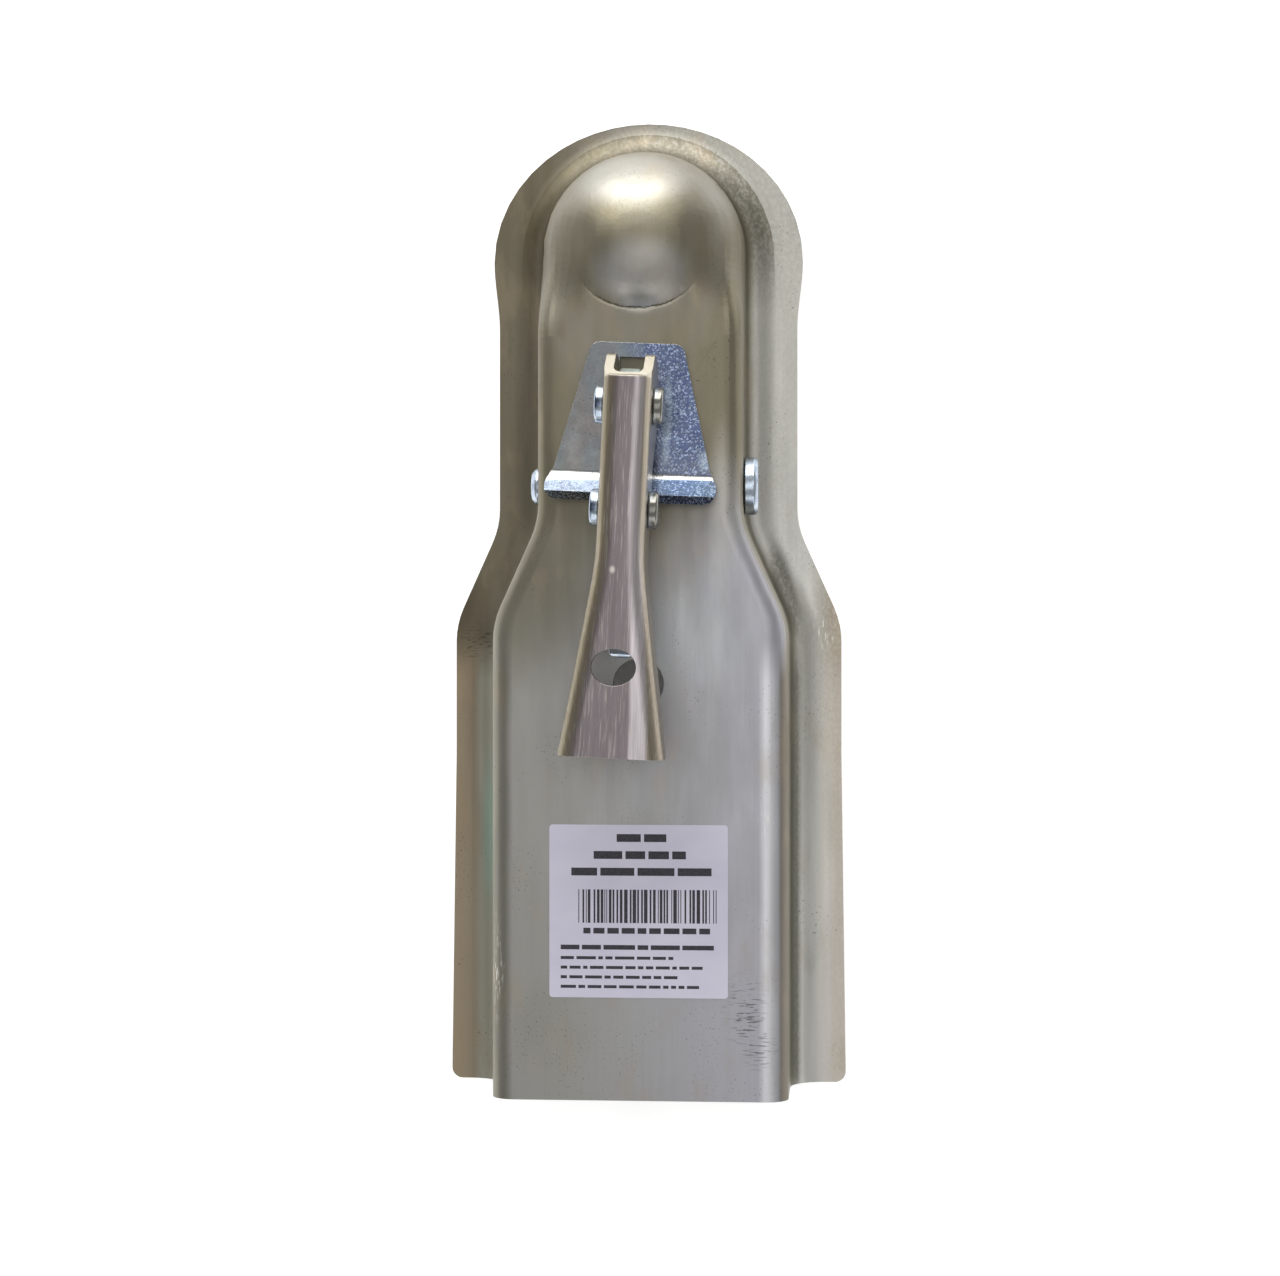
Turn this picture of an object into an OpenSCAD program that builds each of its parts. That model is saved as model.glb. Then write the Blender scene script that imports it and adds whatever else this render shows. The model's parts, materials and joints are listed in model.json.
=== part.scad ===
/* [Ball socket] */
// Diameter of the hitch ball that the socket takes
ball_d = 50.8; // [47:0.1:56]
// Gap between the ball and the socket
ball_clearance = 0.5; // [0.3:0.1:1]
// Thickness of the body's sheet
sheet = 3; // [2:0.1:4]

/* [Body] */
// Inside width of the tail, which takes the trailer's channel
channel_w = 78; // [74:0.1:90]
// Length from the ball centre to the rear end
tail_y = 241; // [210:1:300]
// Height of the web's top above the ball centre
web_top = 21.5; // [20:0.1:23]
// Depth of the flange's underside below the ball centre
flange_drop = 18.5; // [17:0.1:24]
// Where the neck starts to widen, behind the ball centre
neck_y = 73; // [70:0.5:85]
// Length over which the neck widens to the tail
shoulder_len = 38.6; // [30:0.1:50]
// Radius of the flare between wall and flange
flare_r = 10.5; // [6:0.1:11]
// Radius of the edge between web and wall
edge_r = 6.5; // [4:0.1:8]
// Reach of the flange past the wall, along the sides
side_brim = 14.8; // [12:0.1:20]
// Reach of the flange at the tip of the nose
nose_brim = 11.3; // [11.1:0.1:14]
// Reach of the flange abreast of the ball
cheek_brim = 16.4; // [12:0.1:20]
// Extra reach of the flange at the rear end
tail_brim_extra = 1.3; // [0:0.1:4]
// Diameter of the bolt hole in the web
web_hole_d = 14.3; // [10:0.1:18]
// Distance of that hole behind the ball centre
web_hole_y = 123.8; // [116:0.1:135]

/* [Latch plate] */
// Thickness of the latch plate
plate_t = 3; // [2:0.1:4]
// Width of its front edge
plate_front_w = 25.6; // [22:0.1:32]
// Width at the bend
plate_bend_w = 44; // [36:0.1:50]
// Width of the lip
lip_w = 48; // [40:0.1:52]
// Reach of the plate ahead of the draw bolt
plate_front = 19; // [18.5:0.1:22]
// Distance of the bend behind the draw bolt
plate_bend = 17.1; // [16:0.1:17.4]
// Angle of the lip above the plate
lip_angle = 47; // [42:1:52]

/* [Draw bolt and lever] */
// Distance of the draw bolt behind the ball centre
bolt_y = 47.3; // [46:0.1:48]
// Sideways place of the draw bolt
bolt_x = -0.9; // [-1.2:0.1:0]
// Turn of the latch about the draw bolt, in degrees
latch_yaw = -2.7; // [-3:0.1:0]
// Diameter of the draw bolt
bolt_d = 8; // [6:0.1:9]
// Radius of its eye
eye_r = 10; // [8:0.1:10.2]
// Thickness of its eye
eye_t = 7.2; // [6:0.1:7.4]
// Height of the lever's pivot above the latch plate, closed
pivot_h = 18; // [17:0.1:20]
// How far the lever lets the draw bolt down
draw = 4; // [2:0.1:5]
// Opening angle of the lever
lever_open = 90; // [60:1:95]
// Thickness of the lever's sheet
lever_t = 2.6; // [2:0.1:2.8]
// Width of the lever at the pivot
lever_w = 13.2; // [12.8:0.1:15]
// Width of the lever at its tail
lever_tail_w = 29.3; // [20:0.1:34]
// Length of the lever behind its pivot
lever_len = 96.1; // [88:0.1:110]
// Distance of the lever's top above its pivot
lever_top = 13; // [12.8:0.1:15]
// Length of the oval hole in the lever, across
oval_w = 12.2; // [8:0.1:14]
// Length of the oval hole in the lever, along
oval_l = 10; // [8:0.1:12]
// Distance of the oval hole behind the pivot
oval_y = 71.6; // [68:0.1:76]
// Diameter of the pivot rivets
rivet_d = 7.9; // [6:0.1:8]
// Diameter of the rivets' heads
rivet_head_d = 10.4; // [9:0.1:11]
// Thickness of the rivets' heads
rivet_head_t = 2.8; // [1.5:0.1:3.5]

/* [Trigger] */
// Distance of the trigger's rivet behind the pivot
trigger_y = 28.3; // [28:0.1:29]
// Width of the trigger
trigger_w = 6.6; // [6:0.1:7]
// Distance of the trigger's tip behind the pivot
trigger_tip_y = 69.1; // [60:0.1:76]

/* [Ball clamp] */
// Distance of the clamp's pin behind the ball centre
pin_y = 67.4; // [67:0.1:69]
// Height of the clamp's pin above the ball centre
pin_z = 5; // [4.5:0.1:5.5]
// Diameter of the clamp's pin
pin_d = 9.5; // [8:0.1:10]
// Diameter of the pin's head
pin_head_d = 16.6; // [12:0.1:18]
// Thickness of the pin's head
pin_head_t = 3.8; // [2:0.1:5]
// How far the pin's peened end stands out round its shank
pin_peen = 0.7; // [0.4:0.1:1]
// Width of the clamp
clamp_w = 44; // [40:0.1:46]
// Thickness of the clamp's cheeks
cheek_t = 4; // [3:0.1:5]
// Thickness of the clamp's bridge
bridge_t = 4; // [3:0.1:4.5]
// Gap between the ball and the clamp
clamp_clearance = 0.3; // [0.2:0.1:0.8]

/* [Springs and label] */
// Wire of the clamp's spring
spring_wire = 2.2; // [1.5:0.1:2.4]
// Mean radius of the clamp's spring
spring_r = 7.6; // [7:0.1:8]
// Thickness of the spring's washers
washer_t = 1.5; // [1:0.1:2]
// Wire of the trigger's spring
trigger_wire = 1; // [0.8:0.1:1.2]
// Width of the label
label_w = 50.3; // [30:0.1:60]
// Length of the label
label_l = 48.6; // [30:0.1:60]
// Distance of the label's middle behind the ball centre
label_y = 187.7; // [170:0.1:200]

/* [Hidden] */
$fn = 64;

// Running clearance of the pivots, on the radius
run = 0.05;
// Working gap between parts that slide past each other
slip = 0.3;
// Small overlap that makes a cut or a joint certain
eps = 0.5;

socket_r = ball_d / 2 + ball_clearance;
dome_r = socket_r + sheet;
// The skirt under the dome is a little wider than the ball, as drawing needs
neck_half = dome_r + 0.2;
tail_half = channel_w / 2 + sheet;
web_under = web_top - sheet;
flange_bottom = -flange_drop;
flange_top = flange_bottom + sheet;
flare_z = flange_top + flare_r;
// Length behind the ball centre over which the dome's sides run out into the edges
blend_len = 26;
// What the socket's bore takes off the formed sheet
skin_under_bore = 0.15;
brim_grow_y = 145;
round_share = 0.257;

plate_top = web_top + plate_t;
pivot_z = plate_top + pivot_h;
lever_top_z = pivot_z + lever_top;
lever_half = lever_w / 2;
// Where the lever's walls start to flare, behind the pivot
flare_start = 36;
// The cam's radius shrinks evenly as the lever opens
cam_gap = 0.15;
cam_rate = draw / (lever_open * PI / 180);
bend_r = 2.5;
lip_len = 6.7;
bolt_slot_w = bolt_d + 2.4;

bridge_top = pin_z + 1;
bridge_under = bridge_top - bridge_t;
// Centre of the round seat that the clamp rocks on
seat_z = pin_z + 3;
seat_r = 10;
washer_bottom = seat_z - 13;
nut_h = 6;
insert_h = 2;
nut_af = 12.7;
spring_top = web_under - washer_t;
spring_bottom = bridge_top + washer_t;
label_t = 0.2;

function lerp(a, b, s) = a + (b - a) * s;
function unit(s) = min(1, max(0, s));
function smooth(s) = let (u = unit(s)) u * u * (3 - 2 * u);

// An even slope with round ends, each end taking the share a of the length
function ramp(s, a) =
    let (u = unit(s))
    u < a ? u * u / (2 * a * (1 - a))
    : u > 1 - a ? 1 - (1 - u) * (1 - u) / (2 * a * (1 - a))
    : (u - a / 2) / (1 - a);

// A corner at p between a and c, rounded with a smooth curve of reach r
function corner(a, p, c, r, n = 5) =
    let (u = (a - p) / norm(a - p), v = (c - p) / norm(c - p))
    r == 0 ? [p] : [
        for (i = [0:n])
            let (t = i / n)
            p + u * r * (1 - t) * (1 - t) + v * r * t * t
    ];

// A closed outline of [x, y, reach] corners
function rounded(pts) =
    let (n = len(pts))
    [
        for (i = [0:n - 1])
            let (
                a = pts[(i + n - 1) % n],
                p = pts[i],
                c = pts[(i + 1) % n]
            )
            each corner([a[0], a[1]], [p[0], p[1]], [c[0], c[1]], p[2])
    ];

// A side outline in [y, z] made into a plate of width w across x
module side_plate(pts, w) {
    rotate([90, 0, 90])
        translate([0, 0, -w / 2])
            linear_extrude(w)
                polygon(pts);
}

module x_cylinder(r, w) {
    rotate([0, 90, 0])
        cylinder(r = r, h = w, center = true);
}

// Body: half width of the wall at y, and reach of the flange there
function wall_x(y) =
    lerp(neck_half, tail_half, ramp((-neck_y - y) / shoulder_len, round_share));
function brim(y) =
    side_brim
    + (cheek_brim - side_brim) * smooth(1 + y / 20)
    + tail_brim_extra * unit((-y - brim_grow_y) / (tail_y - brim_grow_y));
function nose_lip(phi) =
    let (a = neck_half + cheek_brim, b = neck_half + nose_brim)
    a * b / norm([b * cos(phi), a * sin(phi)]);

corner_steps = 7;
flare_steps = 7;
dome_steps = 5;
half_turns = 24;

// Where the dome leaves the level z, and a point on its side at the angle a
function dome_angle(r, z) = asin(z / r);
function dome_side(r, grow, a) = [(r + grow * pow(cos(a), 8)) * cos(a), r * sin(a)];

// The section of the formed sheet, from the web's edge down to the flange's lip,
// with share 0 on the dome and share 1 where the web has its full edge
function skin(w, lip, share, inset) =
    let (
        r = inset == 0 ? dome_r : socket_r - skin_under_bore,
        grow = w - inset - r,
        top = web_top - inset,
        low = dome_angle(r, top)
    )
    [
        for (i = [0:corner_steps])
            let (
                u = i / corner_steps,
                a = 90 - 90 * u,
                edge = [
                    w - edge_r + (edge_r - inset) * cos(a),
                    web_top - edge_r + (edge_r - inset) * sin(a)
                ]
            )
            lerp(dome_side(r, grow, low * (1 - u)), edge, share),
        for (i = [0:flare_steps])
            let (a = 180 + 90 * i / flare_steps)
            [
                w + flare_r + (flare_r + inset) * cos(a),
                flare_z + (flare_r + inset) * sin(a)
            ],
        if (inset == 0) [lip, flange_top],
        if (inset == 0) [lip, flange_bottom]
    ];

// One station beside the body's middle line, and one around the nose
function side_skin(side, y, inset) =
    let (w = wall_x(y))
    [
        for (p = skin(w, w + brim(y), smooth(-y / blend_len), inset))
            [side * p[0], y, p[1]]
    ];
function nose_skin(phi, inset) =
    [
        for (p = skin(neck_half, nose_lip(phi), 0, inset))
            [p[0] * cos(phi), p[0] * sin(phi), p[1]]
    ];

// Stations from the rear to the nose, a little closer together where the form bends
side_ys = concat(
    [-tail_y, -brim_grow_y],
    [for (i = [16:-1:0]) -neck_y - shoulder_len * i / 16],
    [for (i = [half_turns / 2:-1:1]) -blend_len * i / (half_turns / 2)]
);
function skin_columns(inset) = concat(
    [for (y = side_ys) side_skin(1, y, inset)],
    [for (i = [0:half_turns]) nose_skin(180 * i / half_turns, inset)],
    [for (i = [len(side_ys) - 1:-1:0]) side_skin(-1, side_ys[i], inset)]
);

// The dome's rings above the web, without the ones that the columns already have
function dome_rings(inset) =
    let (
        r = inset == 0 ? dome_r : socket_r - skin_under_bore,
        grow = neck_half - inset - r,
        low = dome_angle(r, web_top - inset)
    )
    concat(
        [
            for (i = [half_turns + 1:2 * half_turns - 1])
                let (p = dome_side(r, grow, low), f = 180 * i / half_turns)
                [p[0] * cos(f), p[0] * sin(f), p[1]]
        ],
        [
            for (k = [1:dome_steps - 1], i = [0:2 * half_turns - 1])
                let (
                    p = dome_side(r, 0, lerp(low, 90, k / dome_steps)),
                    f = 180 * i / half_turns
                )
                [p[0] * cos(f), p[0] * sin(f), p[1]]
        ],
        [[0, 0, r]]
    );

// The faces of one skin, whose points start at the number o and whose columns have m rows
function skin_faces(o, m) =
    let (
        c0 = len(side_ys),
        n = 2 * c0 + half_turns + 1,
        turns = 2 * half_turns,
        quarter = half_turns / 2,
        rear = o + n * m,
        ring = function(k, i)
            let (q = i % turns)
            k > 0 ? rear + half_turns - 1 + (k - 1) * turns + q
            : q <= half_turns ? o + (c0 + q) * m
            : rear + q - half_turns - 1,
        apex = rear + half_turns - 1 + (dome_steps - 1) * turns
    )
    concat(
        [
            for (i = [0:n - 2], j = [0:m - 2])
                let (p = o + i * m + j)
                each quad(p + m, p, p + 1, p + m + 1)
        ],
        [
            for (k = [0:dome_steps - 2], i = [0:turns - 1])
                each quad(ring(k, i), ring(k, i + 1), ring(k + 1, i + 1), ring(k + 1, i))
        ],
        [
            for (i = [0:turns - 1])
                [ring(dome_steps - 1, i), ring(dome_steps - 1, i + 1), apex]
        ],
        // The flat web, behind the dome and on both sides of it
        [
            for (i = [0:c0 - quarter - 1])
                each quad(
                    o + (n - 1 - i) * m, o + i * m,
                    o + (i + 1) * m, o + (n - 2 - i) * m
                )
        ],
        [[
            o + (c0 - quarter) * m, ring(0, 3 * quarter),
            o + (n - 1 - c0 + quarter) * m
        ]],
        [
            for (k = [0:quarter - 1])
                let (
                    right = o + (c0 - quarter + k) * m,
                    left = o + (n - 1 - c0 + quarter - k) * m,
                    f = 3 * quarter
                )
                each concat(
                    [[right, right + m, ring(0, f + k)]],
                    [[left, ring(0, f - k), left - m]],
                    k == quarter - 1 ? [] : [
                        [right + m, ring(0, f + k + 1), ring(0, f + k)],
                        [left - m, ring(0, f - k), ring(0, f - k - 1)]
                    ]
                )
        ]
    );
function quad(a, b, c, d) = [[a, b, c], [a, c, d]];
function flipped(faces) =
    [for (f = faces) [for (i = [len(f) - 1:-1:0]) f[i]]];

// The formed sheet, whole, before its holes are cut
module formed_sheet() {
    outer = skin_columns(0);
    inner = skin_columns(sheet);
    n = len(outer);
    m = len(outer[0]);
    mi = len(inner[0]);
    outer_points = concat([for (c = outer) each c], dome_rings(0));
    o = len(outer_points);
    inner_points = concat([for (c = inner) each c], dome_rings(sheet));
    last = (n - 1) * m;
    last_in = o + (n - 1) * mi;
    underside = [
        for (i = [0:n - 2])
            let (p = i * m + m - 1, q = o + i * mi + mi - 1)
            each quad(p, q, q + mi, p + m)
    ];
    rear_edge = concat(
        quad(0, last, last_in, o),
        [
            for (j = [0:mi - 2])
                each concat(
                    quad(j, o + j, o + j + 1, j + 1),
                    quad(last + j, last + j + 1, last_in + j + 1, last_in + j)
                )
        ],
        quad(m - 3, o + mi - 1, m - 1, m - 2),
        quad(last + m - 3, last + m - 2, last + m - 1, last_in + mi - 1)
    );
    faces = concat(
        skin_faces(0, m),
        flipped(skin_faces(o, mi)),
        underside,
        rear_edge
    );
    polyhedron(
        points = concat(outer_points, inner_points),
        faces = flipped(faces),
        convexity = 8
    );
}

module cap(r) {
    difference() {
        sphere(r = r, $fn = 96);
        translate([-2 * r, -2 * r, -4 * r])
            cube(4 * r);
    }
}

module rear_corner_cuts() {
    r = 3.2;
    x = tail_half + brim(-tail_y);
    for (side = [-1, 1])
        translate([side * x, -tail_y, flange_bottom - eps])
            difference() {
                translate([-r, -r, 0])
                    cube([2 * r, 2 * r, sheet + 2 * eps]);
                translate([-side * r, r, -eps])
                    cylinder(r = r, h = sheet + 4 * eps);
            }
}

module coupler_body() {
    color([0.62, 0.61, 0.55])
        difference() {
            formed_sheet();
            cap(socket_r);
            rear_corner_cuts();
            translate([0, -web_hole_y, web_under - eps])
                cylinder(d = web_hole_d, h = sheet + 2 * eps);
            translate([-bolt_slot_w / 2, -bolt_y - 5, web_under - eps])
                cube([bolt_slot_w, 10, sheet + 2 * eps]);
            for (end = [-5, 5])
                translate([0, -bolt_y + end, web_under - eps])
                    cylinder(d = bolt_slot_w, h = sheet + 2 * eps);
            translate([0, -pin_y, pin_z])
                x_cylinder(pin_d / 2 + run, 2 * neck_half + 8);
        }
}

// Everything on the latch is drawn about the draw bolt and turned with it
module on_latch() {
    translate([bolt_x, -bolt_y, 0])
        rotate([0, 0, latch_yaw])
            children();
}

function lip_point(r, a) =
    [-plate_bend - r * sin(a), plate_top + bend_r - r * cos(a)];
lip_out = [-lip_len * cos(lip_angle), lip_len * sin(lip_angle)];
lip_heel = lip_point(bend_r + plate_t, lip_angle) + lip_out;

module latch_plate() {
    bend = [for (i = [0:6]) lip_angle * i / 6];
    back = [for (i = [6:-1:0]) lip_angle * i / 6];
    profile = concat(
        [[plate_front + eps, plate_top]],
        [for (a = bend) lip_point(bend_r, a)],
        [lip_point(bend_r, lip_angle) + lip_out],
        [lip_heel],
        [for (a = back) lip_point(bend_r + plate_t, a)],
        [[plate_front + eps, web_top]]
    );
    rear = lip_heel[0];
    outline = rounded([
        [plate_front_w / 2, plate_front, 2.5],
        [-plate_front_w / 2, plate_front, 2.5],
        [-plate_bend_w / 2, -plate_bend + 0.5, 1],
        [-lip_w / 2, -plate_bend - 3.4, 1],
        [-lip_w / 2, rear, 4],
        [lip_w / 2, rear, 4],
        [lip_w / 2, -plate_bend - 3.4, 1],
        [plate_bend_w / 2, -plate_bend + 0.5, 1]
    ]);
    color([0.72, 0.76, 0.82])
        on_latch()
            difference() {
                intersection() {
                    side_plate(profile, lip_w + 2);
                    translate([0, 0, web_top - 1])
                        linear_extrude(20)
                            polygon(outline);
                }
                translate([-bolt_d / 2 - 0.8, -8, web_top - eps])
                    cube([bolt_d + 1.6, 23, plate_t + 2 * eps]);
            }
}

// Lever: half width at v along its length, with v = 0 at the pivot
function lever_x(v) =
    let (
        a = 0.25,
        s = unit((-flare_start - v) / (lever_len - flare_start)),
        f = s < a ? s * s / (2 * a) : s - a / 2
    )
    lever_half + (lever_tail_w / 2 - lever_half) * f / (1 - a / 2);
function lever_edge(v) = lerp(4.6, 5.6, unit(-v / lever_len));

function lever_ring(v, inset) =
    let (
        x = lever_x(v) - inset,
        r = lever_edge(v) - inset,
        top = lever_top_z - inset,
        half = [for (i = [0:6])
            let (a = 15 * i)
            [x - r + r * cos(a), v, top - r + r * sin(a)]]
    )
    concat(
        [[x, v, web_top]],
        half,
        [for (i = [6:-1:0]) [-half[i][0], v, half[i][2]]],
        [[-x, v, web_top]]
    );

module lever_form(inset, extra) {
    vs = concat(
        [20, -flare_start],
        [for (i = [1:10]) -lerp(flare_start, lever_len + extra, i / 10)]
    );
    rings = [for (v = vs) lever_ring(v, inset)];
    n = len(rings);
    m = len(rings[0]);
    faces = concat(
        [
            for (i = [0:n - 2], j = [0:m - 1])
                let (k = (j + 1) % m)
                each [
                    [i * m + j, (i + 1) * m + j, (i + 1) * m + k],
                    [i * m + j, (i + 1) * m + k, i * m + k]
                ]
        ],
        [[for (j = [0:m - 1]) j]],
        [[for (j = [m - 1:-1:0]) (n - 1) * m + j]]
    );
    polyhedron(points = [for (r = rings) each r], faces = faces, convexity = 4);
}

// The cam face, as the envelope of the plate while the lever opens
function cam_point(a) =
    let (
        h = pivot_h - cam_gap - cam_rate * a * PI / 180
    )
    [
        h * sin(a) - cam_rate * cos(a),
        pivot_z - h * cos(a) - cam_rate * sin(a)
    ];

module lever() {
    cam = [for (i = [0:15]) cam_point(lever_open * i / 15)];
    reach = cam[15][0];
    wall_low = plate_top + 10.5;
    tail_low = wall_low + 8;
    side = rounded(concat(
        [
            [7, lever_top_z + 1, 0],
            [-lever_len, lever_top_z + 1, 0],
            [-lever_len, tail_low, 3],
            [-plate_bend - 18, wall_low, 6],
            [-15.5, wall_low, 4],
            [-8, plate_top + 1.2, 3]
        ],
        [for (c = cam) [c[0], c[1], 0]],
        [
            [reach, pivot_z + 2.5, 1.5],
            [7, lever_top_z - 1, 1]
        ]
    ));
    color([0.66, 0.62, 0.56])
        on_latch()
            difference() {
                intersection() {
                    lever_form(0, 0);
                    side_plate(side, lever_tail_w + 4);
                }
                lever_form(lever_t, 4);
                translate([0, 0, pivot_z])
                    x_cylinder(rivet_d / 2, lever_w + 4);
                translate([0, -trigger_y, pivot_z])
                    x_cylinder(rivet_d / 2, lever_w + 4);
                translate([0, -oval_y, lever_top_z - lever_t - eps])
                    linear_extrude(lever_t + 2 * eps)
                        polygon([
                            for (i = [0:39])
                                [oval_w / 2 * cos(9 * i), oval_l / 2 * sin(9 * i)]
                        ]);
            }
}

// A rivet across the lever, with a low round head on each side
module cross_rivet() {
    r = rivet_d / 2;
    R = rivet_head_d / 2;
    h = rivet_head_t;
    e = 0.9;
    rotate([0, 90, 0])
        union() {
            cylinder(r = r, h = lever_w, center = true);
            for (side = [0, 180])
                rotate([side, 0, 0])
                    translate([0, 0, lever_half])
                        rotate_extrude()
                            union() {
                                square([R, h - e]);
                                square([R - e, h]);
                                translate([R - e, h - e])
                                    circle(r = e, $fn = 24);
                            }
        }
}

module lever_pivot_rivet() {
    color([0.75, 0.78, 0.8])
        on_latch()
            translate([0, 0, pivot_z])
                cross_rivet();
}

module trigger_rivet() {
    color([0.75, 0.78, 0.8])
        on_latch()
            translate([0, -trigger_y, pivot_z])
                cross_rivet();
}

module trigger() {
    boss_r = rivet_d / 2 + 2.2;
    // The hook's stem stands just behind the lip, and its nose under the lip
    stem = lip_heel[0] - 0.5;
    nose = lip_heel[0] + 1.7;
    foot = web_top + 2;
    tip_z = web_top + 10;
    arm = rounded([
        [-trigger_y, pivot_z + boss_r - 0.3, 0],
        [stem, pivot_z + 2, 0],
        [stem, lip_heel[1] + 0.4, 0.4],
        [lip_heel[0] + 0.05, lip_heel[1] - 0.6, 0.3],
        [nose, lip_heel[1] - 2.6, 0.3],
        [nose - 0.6, foot, 1],
        [stem - 3.6, foot, 2],
        [stem - 4.2, pivot_z - 9, 2.5],
        [-trigger_y - 14, pivot_z - 8, 4],
        [-trigger_tip_y, tip_z - 1.5, 1.4],
        [-trigger_tip_y, tip_z + 1.5, 1.4],
        [-trigger_y - 15, pivot_z - 3.4, 5],
        [-trigger_y - boss_r + 0.6, pivot_z + 2, 1]
    ]);
    plan = rounded([
        [trigger_w / 2, 0, 0],
        [-trigger_w / 2, 0, 0],
        [-trigger_w / 2, -trigger_tip_y, 2],
        [trigger_w / 2, -trigger_tip_y, 2]
    ]);
    color([0.78, 0.8, 0.8])
        on_latch()
            difference() {
                union() {
                    intersection() {
                        side_plate(arm, trigger_w);
                        translate([0, 0, web_top])
                            linear_extrude(40)
                                polygon(plan);
                    }
                    translate([0, -trigger_y, pivot_z])
                        x_cylinder(boss_r, trigger_w);
                }
                translate([0, -trigger_y, pivot_z])
                    x_cylinder(rivet_d / 2 + run, lever_w);
                // The slot that holds the spring's coil
                translate([
                    -spring_slot / 2,
                    -trigger_y - 13,
                    pivot_z - boss_r - 0.8
                ])
                    cube([spring_slot, 13 + boss_r + 1, 2 * boss_r + 4]);
            }
}

spring_slot = 3 * trigger_wire + 0.2;

// A wire swept along points, with a ring of n sides at each
module wire(path, r, n = 8) {
    last = len(path) - 1;
    rings = [
        for (i = [0:last])
            let (
                d = path[min(i + 1, last)] - path[max(i - 1, 0)],
                t = d / norm(d),
                up = abs(t[0]) < 0.9 ? [1, 0, 0] : [0, 0, 1],
                s = cross(t, up) / norm(cross(t, up)),
                u = cross(s, t)
            )
            [
                for (k = [0:n - 1])
                    let (a = 360 * k / n)
                    path[i] + r * (cos(a) * s + sin(a) * u)
            ]
    ];
    faces = concat(
        [
            for (i = [0:last - 1], k = [0:n - 1])
                let (q = (k + 1) % n)
                each [
                    [i * n + k, (i + 1) * n + q, (i + 1) * n + k],
                    [i * n + k, i * n + q, (i + 1) * n + q]
                ]
        ],
        [[for (k = [n - 1:-1:0]) k]],
        [[for (k = [0:n - 1]) last * n + k]]
    );
    polyhedron(points = [for (r = rings) each r], faces = faces, convexity = 6);
}

module trigger_spring() {
    w = trigger_wire;
    r = rivet_d / 2 + w / 2 + 0.4;
    start = 60;
    turn = 360 * 2 + 110;
    coil = [
        for (i = [0:40])
            let (a = start + turn * i / 40)
            [
                w * 1.05 * (2 * i / 40 - 1),
                r * cos(a),
                r * sin(a)
            ]
    ];
    upper = [-w * 1.05, -9, lever_top - lever_t - w / 2 - 0.1];
    lower = [w * 1.05, -12, -4.4];
    color([0.5, 0.5, 0.5])
        on_latch()
            translate([0, -trigger_y, pivot_z])
                wire(concat([upper], coil, [lower]), w / 2, 6);
}

module draw_bolt() {
    e = 1.6;
    thread_end = washer_bottom - nut_h - insert_h - 0.4;
    color([0.72, 0.75, 0.76])
        on_latch()
            difference() {
                union() {
                    translate([0, 0, pivot_z])
                        rotate([0, 90, 0])
                            rotate_extrude()
                                union() {
                                    translate([0, -eye_t / 2 + e])
                                        square([eye_r, eye_t - 2 * e]);
                                    translate([0, -eye_t / 2])
                                        square([eye_r - e, eye_t]);
                                    for (s = [-1, 1])
                                        translate([eye_r - e, s * (eye_t / 2 - e)])
                                            circle(r = e, $fn = 32);
                                }
                    translate([0, 0, thread_end])
                        cylinder(d = bolt_d, h = pivot_z - thread_end - rivet_d);
                    translate([0, 0, thread_end - 0.6])
                        cylinder(d1 = bolt_d - 1.6, d2 = bolt_d, h = 0.6);
                }
                translate([0, 0, pivot_z])
                    x_cylinder(rivet_d / 2 + run, eye_t + 2);
            }
}

module adjusting_nut() {
    color([0.7, 0.72, 0.72])
        on_latch()
            translate([0, 0, washer_bottom - nut_h])
                difference() {
                    union() {
                        cylinder(d = nut_af / cos(30), h = nut_h, $fn = 6);
                        translate([0, 0, -insert_h])
                            cylinder(d = nut_af - 0.6, h = insert_h);
                    }
                    translate([0, 0, -eps - insert_h])
                        cylinder(d = bolt_d, h = nut_h + insert_h + 2 * eps);
                    translate([0, 0, -insert_h - eps])
                        cylinder(d = nut_af - 2.2, h = insert_h + eps);
                }
}

module nut_insert() {
    color([0.85, 0.85, 0.8])
        on_latch()
            translate([0, 0, washer_bottom - nut_h - insert_h])
                difference() {
                    cylinder(d = nut_af - 2.2, h = insert_h);
                    translate([0, 0, -eps])
                        cylinder(d = bolt_d, h = insert_h + 2 * eps);
                }
}

module rocker_washer() {
    outer = 6.4;
    color([0.62, 0.62, 0.58])
        on_latch()
            difference() {
                translate([0, 0, washer_bottom])
                    cylinder(r = outer, h = seat_z - seat_r + 3 - washer_bottom);
                translate([0, 0, seat_z])
                    sphere(r = seat_r + slip, $fn = 96);
                translate([0, 0, washer_bottom - eps])
                    cylinder(r = bolt_d / 2 + 0.2, h = 12);
            }
}

module ring(r_out, r_in, h) {
    difference() {
        cylinder(r = r_out, h = h);
        translate([0, 0, -eps])
            cylinder(r = r_in, h = h + 2 * eps);
    }
}

module spring_top_washer() {
    color([0.6, 0.6, 0.56])
        translate([bolt_x, -bolt_y, spring_top])
            ring(spring_r + spring_wire / 2 + 1.6, bolt_d / 2 + 0.4, washer_t);
}

module spring_seat() {
    color([0.6, 0.6, 0.56])
        translate([bolt_x, -bolt_y, bridge_top])
            ring(spring_r + spring_wire / 2 + 1, bolt_d / 2 + 1, washer_t);
}

module clamp_spring() {
    turns = 2.6;
    low = spring_bottom + spring_wire / 2 + 0.02;
    high = spring_top - spring_wire / 2 - 0.02;
    steps = 56;
    color([0.45, 0.46, 0.46])
        translate([bolt_x, -bolt_y, 0])
            wire([
                for (i = [0:steps])
                    let (
                        s = i / steps,
                        a = 360 * turns * s,
                        z = lerp(low, high, ramp(s, 0.3))
                    )
                    [spring_r * cos(a), spring_r * sin(a), z]
            ], spring_wire / 2);
}

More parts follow.
